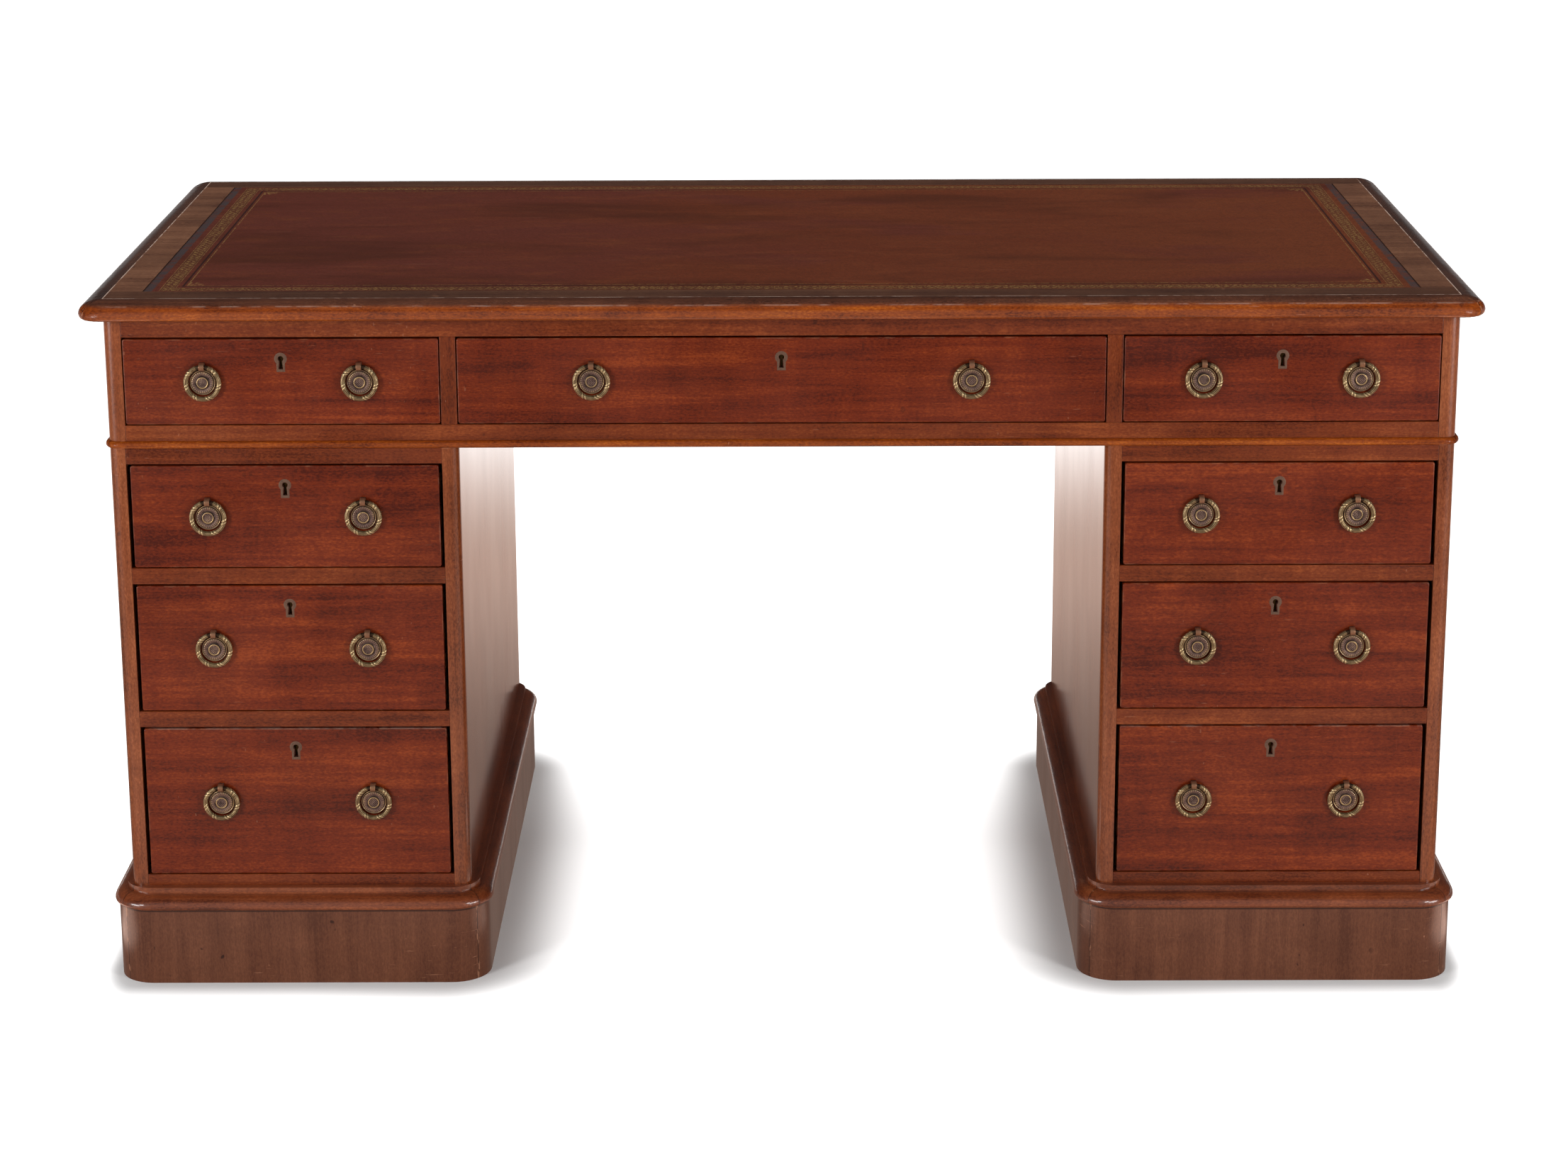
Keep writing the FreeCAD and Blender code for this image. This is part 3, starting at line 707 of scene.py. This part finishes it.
# Backplate: rows of the profile turned about the middle, with gadroons round the disc and a chequered rosette
def backplate(centre, card=plateCard):
    radii, heights, relief = (np.array(row) for row in zip(*card["profile"]))
    rim = len(radii) - 2
    at = np.concatenate([np.arange(rim, step=1 / 3), [rim, rim + 1]])
    radii, heights, relief = (np.interp(at, np.arange(rim + 2), row) for row in (radii, heights, relief))
    angle = np.arange(card["around"]) * fullTurn / card["around"]
    front = (at < rim - 1)[:, None]
    ring = (radii > card["gadroonFrom"]) & (radii < card["gadroonTo"])
    wave = np.abs(np.cos(angle * card["gadroons"] / 2))[None, :]
    ridge = (wave - card["gadroonMiddle"]) * ring[:, None]
    x, z = radii[:, None] * np.sin(angle), radii[:, None] * np.cos(angle)
    turn = fullTurn / card["rosettePitch"]
    boss = (np.cos(x * turn) * np.cos(z * turn)) * (radii[:, None] < card["rosetteTo"])
    rise = ridge * card["gadroonRise"] + boss * card["rosetteRise"] / 2
    height = heights[:, None] + front * rise
    bright = relief[:, None] + card["gadroonBright"] * ridge + card["rosetteBright"] * boss
    bright = np.clip(bright, 0, 1).ravel()
    return turned(centre, radii * mm, height * mm, card["around"], 0, reliefAt=bright)


# Eye: a flat strap bent round the ring's top, as a ring about X with a rounded rectangle for its section,
# and its stem
def eye(centre, ringRadius, card=eyeCard):
    around, section = card["steps"]
    phi = np.linspace(0, fullTurn, around, endpoint=False)[:, None]
    turn = np.linspace(0, fullTurn, section, endpoint=False)[None, :]

    def squared(wave):
        return np.sign(wave) * np.abs(wave) ** card["squareness"]

    middle, wall = (card["outer"] + card["hole"]) / 2, (card["outer"] - card["hole"]) / 2
    away = middle + wall * squared(np.sin(turn))
    width = card["width"] / 2 * squared(np.cos(turn)) * np.ones_like(phi)
    root = centre + np.array([0, 0, ringRadius])
    pivot = root - np.array([0, card["standoff"], 0])
    points = np.stack([width, away * np.cos(phi), away * np.sin(phi)], -1) + pivot
    bright = np.full(around * section, card["bright"])
    strap = form(points, [gridFaces(around, section, True, True)], 1, reliefAt=bright)
    half = np.array([card["width"] / 2, 0, card["outer"] * card["stemShare"]])
    front = np.array([0, card["stemOut"], 0])
    return [strap, roundedBlock(root - half - front, root + half, card["stemRound"], 1)]


# Keyhole rim: about the middle of the keyhole's head, both outlines are the larger of a circle's radius and
# the way out of the straight body, and the section between them is carried round.
def keyholeRim(centre, card=keyholeCard):
    angle = np.linspace(0, fullTurn, card["around"], endpoint=False)
    feet = []
    for head, body, height in (("head", "slotFoot", "height"), ("rimHead", "rimBody", "rimHeight")):
        foot = card[height] - card[head]
        feet += [math.atan2(side * card[body] / 2, -foot) % fullTurn for side in (-1, 1)]
    angle = np.unique(np.concatenate([angle, feet]))
    sine, cosine = np.sin(angle), np.cos(angle)
    least = 1e-9

    def outline(head, neck, body, height):
        lean = (body - neck) / 2 / (height - head)
        side = neck / 2 / np.maximum(np.abs(sine) - lean * np.maximum(-cosine, 0), least)
        foot = np.where(cosine < 0, (height - head) / np.maximum(-cosine, least), 0)
        return np.maximum(head, np.minimum(side, foot))

    inner = outline(card["head"], card["slot"], card["slotFoot"], card["height"])
    outer = outline(card["rimHead"], card["rimBody"], card["rimBody"], card["rimHeight"])
    proud, depth = card["proud"], card["rimDepth"]
    section = [(0.0, depth), (0.0, -proud * 0.3), (0.12, -proud), (0.85, -proud), (1.0, 0.0), (1.0, depth)]
    rows = []
    for share, y in section:
        out = inner + (outer - inner) * share
        rows.append(np.stack([out * sine, np.full_like(sine, y), out * cosine], -1))
    points = np.stack(rows) + centre
    return form(points, [gridFaces(len(section), len(angle), True, True)], 2)


# the shank behind a backplate, with its nut
def shank(centre, card=shankCard):
    radii = np.array([card["tip"], card["radius"], card["radius"], card["tip"]])
    heights = np.array([0, 0, -card["length"], -card["length"]])
    half = card["nut"] / 2
    nutLow = centre + np.array([-half, card["nutFrom"], -half])
    nutHigh = centre + np.array([half, card["nutTo"], half])
    return [turned(centre, radii, heights, card["around"], 3),
            roundedBlock(nutLow, nutHigh, card["nutRound"], 3)]


# the lock's case and its top plate, let into the back of a drawer front
def lock(x, top, back, card=lockCard):
    face = back - card["depth"]
    under = top - card["plateThick"]
    half, wide = card["width"] / 2, card["plate"] / 2
    caseLow, caseHigh = (x - half, face, top - card["height"]), (x + half, back, under)
    return [roundedBlock(caseLow, caseHigh, card["round"], 3),
            roundedBlock((x - wide, face, under), (x + wide, back, top), card["plateRound"], 3)]


def makeBrasses(drawer, finishes, ringFinish):
    low, high = corners(drawer + "_drawer_front")
    forms = []
    for hand in ("left", "right"):
        ring = drawer + "_ring_" + hand
        middle, radius = makeRing(ring, ring, ringFinish)
        centre = np.array([middle[0], low[1], middle[2]])
        forms += [backplate(centre), *eye(centre, radius), *shank(centre)]
    x, top = (low[0] + high[0]) / 2, high[2]
    forms.append(keyholeRim((x, low[1], top - keyholeCard["drop"])))
    forms += lock(x, top, low[1] + lockCard["frontThick"])
    putPiece(drawer + "-brasses", forms, finishes, drawer + "_drawer", [drawer + "_drawer_brasses"],
             sharp=plateCard["sharp"])


brassCard = {
    "patch": ((160, 160, 160), 3.0, 0.6), "patchShare": 0.9,
    "grit": ((900, 900, 900), 2.0), "bump": (0.04 * mm, 0.5),
    "hollowToBody": (0.05, 0.5), "bodyToRidge": (0.55, 1.0), "roughLevels": (0.1, 0.9), "hollowRougher": 0.18,
}


# Old brass: the relief's bright ridges are rubbed, its hollows are dark, and patches of lacquer stay brown
def oldBrass(name, hollow, body, ridge, roughness, metallic, relief=True, card=brassCard):
    material, tree, surface, place = newMaterial(name)
    patch = cloud(place, *card["patch"])
    grit = cloud(place, *card["grit"])
    high = attribute(tree, "reliefAt", "Fac") if relief else grit
    uneven = times(minus(patch, 0.5), card["patchShare"])
    level = calc("ADD", high, uneven)
    colour = blendColour(fade(level, *card["hollowToBody"]), hollow, body)
    colour = blendColour(fade(level, *card["bodyToRidge"]), colour, ridge)
    feed(surface["Base Color"], colour)
    surface["Metallic"].default_value = metallic
    rough = fade(level, *card["roughLevels"], roughness + card["hollowRougher"], roughness)
    feed(surface["Roughness"], rough)
    feed(surface["Normal"], bump(grit, *card["bump"]))
    return material


brassFinishes = [
    oldBrass("dark bronze plate", tone(50, 36, 32), tone(122, 97, 88), tone(190, 160, 116), 0.34, 0.7),
    oldBrass("copper eye", tone(80, 50, 38), tone(150, 108, 82), tone(182, 140, 104), 0.36, 0.7),
    oldBrass("tan keyhole rim", tone(84, 60, 48), tone(112, 84, 68), tone(134, 106, 86), 0.5, 0.5, False),
    oldBrass("lock brass", tone(70, 52, 30), tone(120, 94, 54), tone(150, 122, 74), 0.42, 0.85, False),
]
ringBrass = oldBrass("ring brass", tone(64, 48, 34), tone(146, 122, 88), tone(216, 192, 146), 0.30, 0.75)
for drawer in drawerNames:
    makeBrasses(drawer, brassFinishes, ringBrass)
print("rings, backplates, keyhole rims and locks")

# Leather. Its bands have a place in from the edge, a width and a soft edge.
leatherCard = {
    "fine": 1.6 * mm, "fineReach": 76 * mm, "coarse": 14 * mm, "thick": 1.4 * mm, "trimmed": 12 * mm,
    "blind": (5 * mm, 10 * mm, 1.6 * mm), "blindDip": 0.12 * mm, "roll": (25.5 * mm, 15 * mm),
    "rollDip": 0.06 * mm, "line": (44 * mm, 1.1 * mm, 0.6 * mm), "sunk": 0.02 * mm, "wave": 0.05 * mm,
}


# lines of the grid across one side: fine within reach of each edge and coarse between
def borderLines(half, card=leatherCard):
    fine = np.arange(0, card["fineReach"], card["fine"])
    reach = half - card["fineReach"]
    inner = np.linspace(-reach, reach, round(2 * reach / card["coarse"]) + 1)
    return np.concatenate([fine - half, inner, half - fine[::-1]])


# Leather: a flat panel that dips where the border was pressed and waves a little over the middle
def makeLeather(finish, card=leatherCard):
    low, high = corners("writing_leather")
    half, middle = (high - low) / 2, (high + low) / 2
    x, y = np.meshgrid(borderLines(half[0]), borderLines(half[1]), indexing="ij")
    inward = np.minimum(half[0] - np.abs(x), half[1] + card["trimmed"] - np.abs(y))

    def pressed(part):
        place, width = card[part][:2]
        return np.exp(-((inward - place) / (width / 2)) ** 6)

    dip = card["blindDip"] * pressed("blind") + card["rollDip"] * pressed("roll")
    wave = np.sin(x * 9 + 2 * np.sin(y * 6)) * np.cos(y * 11 + np.sin(x * 4)) + 1
    z = high[2] - middle[2] - card["sunk"] - dip - card["wave"] * wave
    shape = form(np.stack([x, y, z], -1) + middle, [gridFaces(*x.shape)[:, ::-1]])
    piece = putPiece("writingLeather", [shape], [finish], "desk", ["writing_leather"],
                     closed=False)
    wall = piece.modifiers.new("thickness", "SOLIDIFY")
    wall.thickness = card["thick"]
    wall.offset = -1


# the gilt roll: places and widths across it are shares of half its width
rollCard = {
    "pitch": 21 * mm, "sway": 0.5, "stem": (0.0, 0.34, 0.16), "leaf": (0.0, 0.5, 0.2),
    "leafLevels": (0.55, 0.8), "dots": (0.72, 0.2, 0.1), "dotsPerPitch": 4.0, "dotLevels": (0.1, 0.5),
    "inside": (0.0, 1.9, 0.1), "lines": ((-1.05, 0.10, 0.06), (1.05, 0.10, 0.06)), "ground": (0.0, 2.1, 0.2),
    "fanGap": 1 * mm, "fanRays": 12.0, "rayLevels": (-0.4, 0.2), "fanReach": (16 * mm, 18 * mm),
    "creases": ((40 * mm, 2.4 * mm, 1.2 * mm), (0.6 * mm, 1.6 * mm, 0.8 * mm)),
    "wornFine": ((300, 300, 300), 3.0, 0.7), "fineLevels": (0.42, 0.57),
    "wornWide": ((18, 18, 18), 2.0, 0.6), "wideLevels": (0.30, 0.62, 0.45, 1.0),
    "smudge": ((70, 70, 70), 4.0, 0.7), "smudgeLevels": (0.34, 0.60, 0.35, 1.0),
}


# Tooled border, by the way in from the nearest edge and the way along it: a blind band, a gilt roll of a
# waved stem with leaves and dots between two lines, an inner line, and a fan in each inner corner
def makeTooledBorder(card=rollCard):
    tree, given, out = newGroup("tooled border", {
        "Vector": "Vector", "Half X": "Float", "Half Y": "Float",
    }, dict.fromkeys(("Gilt", "Roll", "Blind", "Crease"), "Float"))
    x, y, _ = split(given["Vector"])
    inX, inY = inwards(given["Half X"], x), inwards(given["Half Y"], y)
    inward = calc("MINIMUM", inX, inY)
    run = blendValue(calc("LESS_THAN", inX, inY), x, y)
    phase = times(run, fullTurn / card["pitch"])
    sine = calc("SINE", phase)
    rollAt, rollWide = leatherCard["roll"]
    across = calc("DIVIDE", minus(inward, rollAt), rollWide / 2)
    sway = times(sine, card["sway"])
    stem = band(minus(across, sway), *card["stem"])
    leafAt = fade(calc("ABSOLUTE", sine), *card["leafLevels"])
    leaf = times(band(calc("ADD", across, sway), *card["leaf"]), leafAt)
    beat = calc("COSINE", times(phase, card["dotsPerPitch"]))
    dotRow = band(calc("ABSOLUTE", across), *card["dots"])
    dot = times(dotRow, fade(beat, *card["dotLevels"]))
    roll = times(most(stem, leaf, dot), band(across, *card["inside"]))
    lines = [band(across, *line) for line in card["lines"]]
    innerLine = band(inward, *leatherCard["line"])
    lineAt = leatherCard["line"][0]
    corner = lineAt + card["fanGap"]
    fanX, fanY = minus(inX, corner), minus(inY, corner)
    fanFar = calc("SQRT", calc("ADD", times(fanX, fanX), times(fanY, fanY)))
    fanRay = calc("COSINE", times(calc("ARCTAN2", fanY, fanX), card["fanRays"]))
    fan = times(fade(fanRay, *card["rayLevels"]),
                fade(fanFar, *card["fanReach"], 1.0, 0.0),
                calc("GREATER_THAN", inward, lineAt))
    gilt = most(roll, *lines, innerLine, fan)
    wornFine = fade(cloud(given["Vector"], *card["wornFine"]), *card["fineLevels"])
    wornWide = fade(cloud(given["Vector"], *card["wornWide"]), *card["wideLevels"])
    feed(out["Gilt"], times(gilt, wornFine, wornWide))
    feed(out["Roll"], band(across, *card["ground"]))
    smudged = fade(cloud(given["Vector"], *card["smudge"]), *card["smudgeLevels"])
    blind = band(inward, *leatherCard["blind"])
    feed(out["Blind"], times(blind, smudged))
    feed(out["Crease"], most(*[band(inward, *crease) for crease in card["creases"]]))
    return tree


leatherTones = {
    "field": tone(106, 49, 27), "deep": tone(66, 32, 20), "rosy": tone(100, 47, 36), "tan": tone(122, 63, 35),
    "streak": tone(132, 84, 64), "Blind": tone(64, 60, 62), "Crease": tone(38, 24, 24),
    "Gilt": tone(186, 144, 86), "Roll": tone(80, 48, 32),
}
# the noise of the leather's colours, and its stains: noise, levels, share and tone
dyeCard = {
    "noise": {
        "patch": ((2.6, 8.5, 5), 4.0, 0.6, 0.4),
        "rosy": ((2.1, 3.0, 3), 2.0),
        "flush": ((3.4, 7.5, 5), 3.0, 0.55),
        "mottle": ((14, 42, 40), 4.0, 0.65),
        "grain": ((420, 420, 420), 3.0, 0.6),
        "scrape": ((9, 190, 100), 2.0),
    },
    "flushShift": (3.7, 1.9, 0), "sideWander": -1.2,
    "fieldFrom": (-0.45, 0.05), "tanFrom": (-0.1, 0.6, 0.0, 0.6),
    "stains": [
        ("flush", (0.50, 0.70), 0.8, "rosy"), ("mottle", (0.45, 0.75), 0.5, "tan"),
        ("patch", (0.46, 0.70), 0.6, "deep"), ("grain", (0.32, 0.68), 0.5, "deep"),
        ("scrape", (0.67, 0.77), 0.4, "streak"),
    ],
    "tooling": {"Roll": 0.5, "Blind": 0.85, "Crease": 0.8, "Gilt": 1.0},
    "giltMetal": 0.6, "roughness": (0.3, 0.7, 0.40, 0.50), "shine": 0.4,
    "pebbles": 620.0, "pebbleHeight": 0.6, "grainHeight": 0.4, "bump": (0.1 * mm, 0.35),
}


# Tooled leather: rosy to the left and tan to the right, stained by cloudy noise, then pressed and gilt
def tooledLeather(card=dyeCard):
    material, _, surface, place = newMaterial("tooled leather")
    low, high = corners("writing_leather")
    half = (high - low) / 2
    border = useGroup(makeTooledBorder(), {
        "Vector": place, "Half X": half[0], "Half Y": half[1] + leatherCard["trimmed"]})
    places = {"flush": vectorCalc("ADD", place, card["flushShift"])}
    noise = {name: cloud(places.get(name, place), *row) for name, row in card["noise"].items()}
    x, _, _ = split(place)
    left = calc("MULTIPLY_ADD", minus(noise["rosy"], 0.5), card["sideWander"], x)
    colour = blendColour(fade(left, *card["fieldFrom"]), leatherTones["rosy"], leatherTones["field"])
    colour = blendColour(fade(left, *card["tanFrom"]), colour, leatherTones["tan"])
    for name, levels, share, stain in card["stains"]:
        colour = blendColour(fade(noise[name], *levels, 0.0, share), colour, leatherTones[stain])
    for label, share in card["tooling"].items():
        colour = blendColour(times(border[label], share), colour, leatherTones[label])
    feed(surface["Base Color"], colour)
    feed(surface["Metallic"], times(border["Gilt"], card["giltMetal"]))
    feed(surface["Roughness"], fade(noise["patch"], *card["roughness"]))
    surface["Specular IOR Level"].default_value = card["shine"]
    cells = {"Vector": place, "Scale": card["pebbles"]}
    pebble = join("TexVoronoi", cells).outputs["Distance"]
    grain = times(noise["grain"], card["grainHeight"])
    height = calc("MULTIPLY_ADD", pebble, card["pebbleHeight"], grain)
    feed(surface["Normal"], bump(height, *card["bump"]))
    return material


makeLeather(tooledLeather())
print("writing leather")

# Stage: a pale floor and a white studio. The floor's front and behind are what polish reflects along Y, as
# rows of two places and the brightness at each.
white = (1.0, 1.0, 1.0, 1.0)
floorCard = {
    "half": 9.0, "colour": 0.88, "warm": tone(240, 205, 188), "warmTo": (1.2, 2.6),
    "plinthAt": 0.546, "plinthHalf": (0.215, 0.379), "round": 0.06, "outerSqueeze": 1.4,
    "innerSide": (0.36, 0.56), "innerFront": (-0.48, -0.28), "innerBack": (0.05, 0.42),
    "glowNear": 0.05, "glowAway": 0.95, "innerReach": 0.11, "outerReach": 0.055,
    "front": ((-2.9, -0.8, 0.02, 0.8), (-0.8, -0.35, 0.8, 0.26)),
    "behind": ((0.3, 1.4, 0.26, 0.72), (1.3, 2.6, 0.0, 1.1), (3.0, 4.6, 0.0, -1.3)),
    "beside": 2.6, "besideAt": (-0.35, 0.20, 0.10), "besideOuter": (0.92, 0.16, 0.06),
    "besideInner": (0.13, 0.16, 0.06), "innerShare": 0.5,
}


# how far a place on the floor lies outside the plinths, as rounded rectangles, squeezed on their outer sides
def outsidePlinths(side, depth, card=floorCard):
    fromX = calc("ABSOLUTE", minus(side, card["plinthAt"]))
    outer = calc("GREATER_THAN", side, card["plinthAt"])
    squeeze = calc("MULTIPLY_ADD", outer, card["outerSqueeze"], 1.0)
    outX = times(minus(fromX, card["plinthHalf"][0]), squeeze)
    outY = minus(depth, card["plinthHalf"][1])
    past = [calc("MAXIMUM", calc("ADD", way, card["round"]), 0.0) for way in (outX, outY)]
    corner = join("CombineXYZ", dict(enumerate(past))).outputs[0]
    length = join("VectorMath", {0: corner}, operation="LENGTH").outputs["Value"]
    return minus(length, card["round"])


# what polish reflects of the floor: dim far in front, brighter near the desk, bright well behind it and less
# so farther off, with bright spots beside the plinths' front corners
def mirroredFloor(side, y, card=floorCard):
    front = calc("MINIMUM", *[fade(y, *row) for row in card["front"]])
    behind = 0.0
    for row in card["behind"]:
        behind = calc("ADD", fade(y, *row), behind)
    inner = times(band(side, *card["besideInner"]), card["innerShare"])
    aside = most(band(side, *card["besideOuter"]), inner)
    beside = times(aside, band(y, *card["besideAt"]))
    return calc("MULTIPLY_ADD", beside, card["beside"], most(front, behind))


# Floor: the camera sees it lifted to white away from the plinths, more slowly within the kneehole
def makeFloor(card=floorCard):
    mesh = bpy.data.meshes.new("floor")
    ends = np.array([[-1, -1, 0], [1, -1, 0], [1, 1, 0], [-1, 1, 0]]) * card["half"]
    mesh.from_pydata(ends.tolist(), [], [[0, 1, 2, 3]])
    floor = putObject("floor", mesh)
    material = bpy.data.materials.new("pale floor")
    material.use_nodes = True
    tree = material.node_tree
    tree.nodes.clear()
    path = addNode(tree, "LightPath").outputs
    x, y, _ = split(addNode(tree, "TexCoord").outputs["Object"])
    side, depth = calc("ABSOLUTE", x), calc("ABSOLUTE", y)
    inner = times(fade(side, *card["innerSide"], 1.0, 0.0),
                  fade(y, *card["innerFront"]), fade(y, *card["innerBack"], 1.0, 0.0))
    reach = blendValue(inner, card["outerReach"], card["innerReach"])
    out = outsidePlinths(side, depth)
    lift = fade(out, 0.0, reach, card["glowNear"], card["glowAway"])
    # in polish the floor is a painted reflection, warm near the desk and white farther off; the camera sees
    # it white
    tint = blendColour(fade(y, *card["warmTo"]), card["warm"], white)
    tint = blendColour(path["Is Glossy Ray"], white, tint)
    shade = times(minus(1.0, path["Is Glossy Ray"]), card["colour"])
    matt = join("BsdfDiffuse", {"Color": shade}).outputs[0]
    strength = calc("ADD", times(path["Is Camera Ray"], lift),
                    times(path["Is Glossy Ray"], mirroredFloor(side, y)))
    glow = join("Emission", {"Color": tint, "Strength": strength}).outputs[0]
    both = join("AddShader", {0: matt, 1: glow}).outputs[0]
    join("OutputMaterial", {"Surface": both})
    mesh.materials.append(material)


studio = {
    "ambient": 0.27, "seen": 1.0, "mirroredFront": 0.4, "frontToBack": (-0.85, -0.4),
    "horizon": (0.03, 0.09, 0.2, 0.024),
}


# Studio: the camera sees plain white, and polish reflects a room that is lighter in front of the desk and
# along the horizon
def makeStudio():
    world = bpy.data.worlds.new("studio")
    scene.world = world
    world.use_nodes = True
    tree = world.node_tree
    tree.nodes.clear()
    path = addNode(tree, "LightPath").outputs
    _, y, z = split(addNode(tree, "TexCoord").outputs["Generated"])
    back = fade(z, *studio["horizon"])
    mirrored = fade(y, *studio["frontToBack"], studio["mirroredFront"], back)
    reflected = most(path["Is Glossy Ray"], path["Is Transmission Ray"])
    seen = blendValue(path["Is Camera Ray"], studio["ambient"], studio["seen"])
    strength = blendValue(reflected, seen, mirrored)
    light = join("Background", {"Color": white, "Strength": strength}).outputs[0]
    join("OutputWorld", {"Surface": light})


# lamps: place, size, power, whether polish mirrors them and whether they light anything
lamps = {
    "left": ((-2.6, -2.7, 1.6), (0.7, 0.7), 37, False, True),
    "right": ((2.6, -2.7, 1.6), (0.7, 0.7), 37, False, True),
    "left glint": ((-2.4, -2.9, 0.95), (0.6, 0.6), 15, True, True),
    "right glint": ((2.4, -2.9, 0.95), (0.6, 0.6), 15, True, True),
    "left gleam": ((-3.1, -2.2, 0.42), (1.3, 0.6), 28, True, False),
    "right gleam": ((3.1, -2.2, 0.42), (1.3, 0.6), 28, True, False),
    "overhead": ((0.0, 0.6, 3.4), (3.0, 2.0), 58, False, True),
}
lampAim = (0, 0, 0.4)


def makeLamps():
    for name, (place, size, power, mirrored, lights) in lamps.items():
        light = bpy.data.lights.new(name, "AREA")
        light.shape = "RECTANGLE"
        light.size, light.size_y = size
        light.energy = power
        lamp = putObject(name, light)
        lamp.visible_glossy = mirrored
        lamp.visible_diffuse = lights
        aim = np.array(lampAim) - np.array(place)
        tilt = Matrix.Rotation(math.atan2(math.hypot(aim[0], aim[1]), -aim[2]), 4, "X")
        turn = Matrix.Rotation(math.atan2(-aim[0], aim[1]), 4, "Z")
        lamp.matrix_world = Matrix.Translation(place) @ turn @ tilt


lens = {"at": (0.0169, -3.95, 1.567), "pitch": 0.2524, "yaw": 0.0040, "roll": 0.0041,
        "length": 77.95, "sensor": 36.0, "shift": -0.1}


def makeCamera():
    data = bpy.data.cameras.new("camera")
    data.lens = lens["length"]
    data.sensor_width = lens["sensor"]
    data.shift_y = lens["shift"]
    camera = putObject("camera", data)
    tilt = Matrix.Rotation(math.pi / 2 - lens["pitch"], 4, "X") @ Matrix.Rotation(-lens["roll"], 4, "Z")
    camera.matrix_world = Matrix.Translation(lens["at"]) @ Matrix.Rotation(lens["yaw"], 4, "Z") @ tilt
    scene.camera = camera


makeFloor()
makeStudio()
makeLamps()
makeCamera()
scene.view_settings.view_transform = "Standard"
print("floor, studio, lamps and camera")
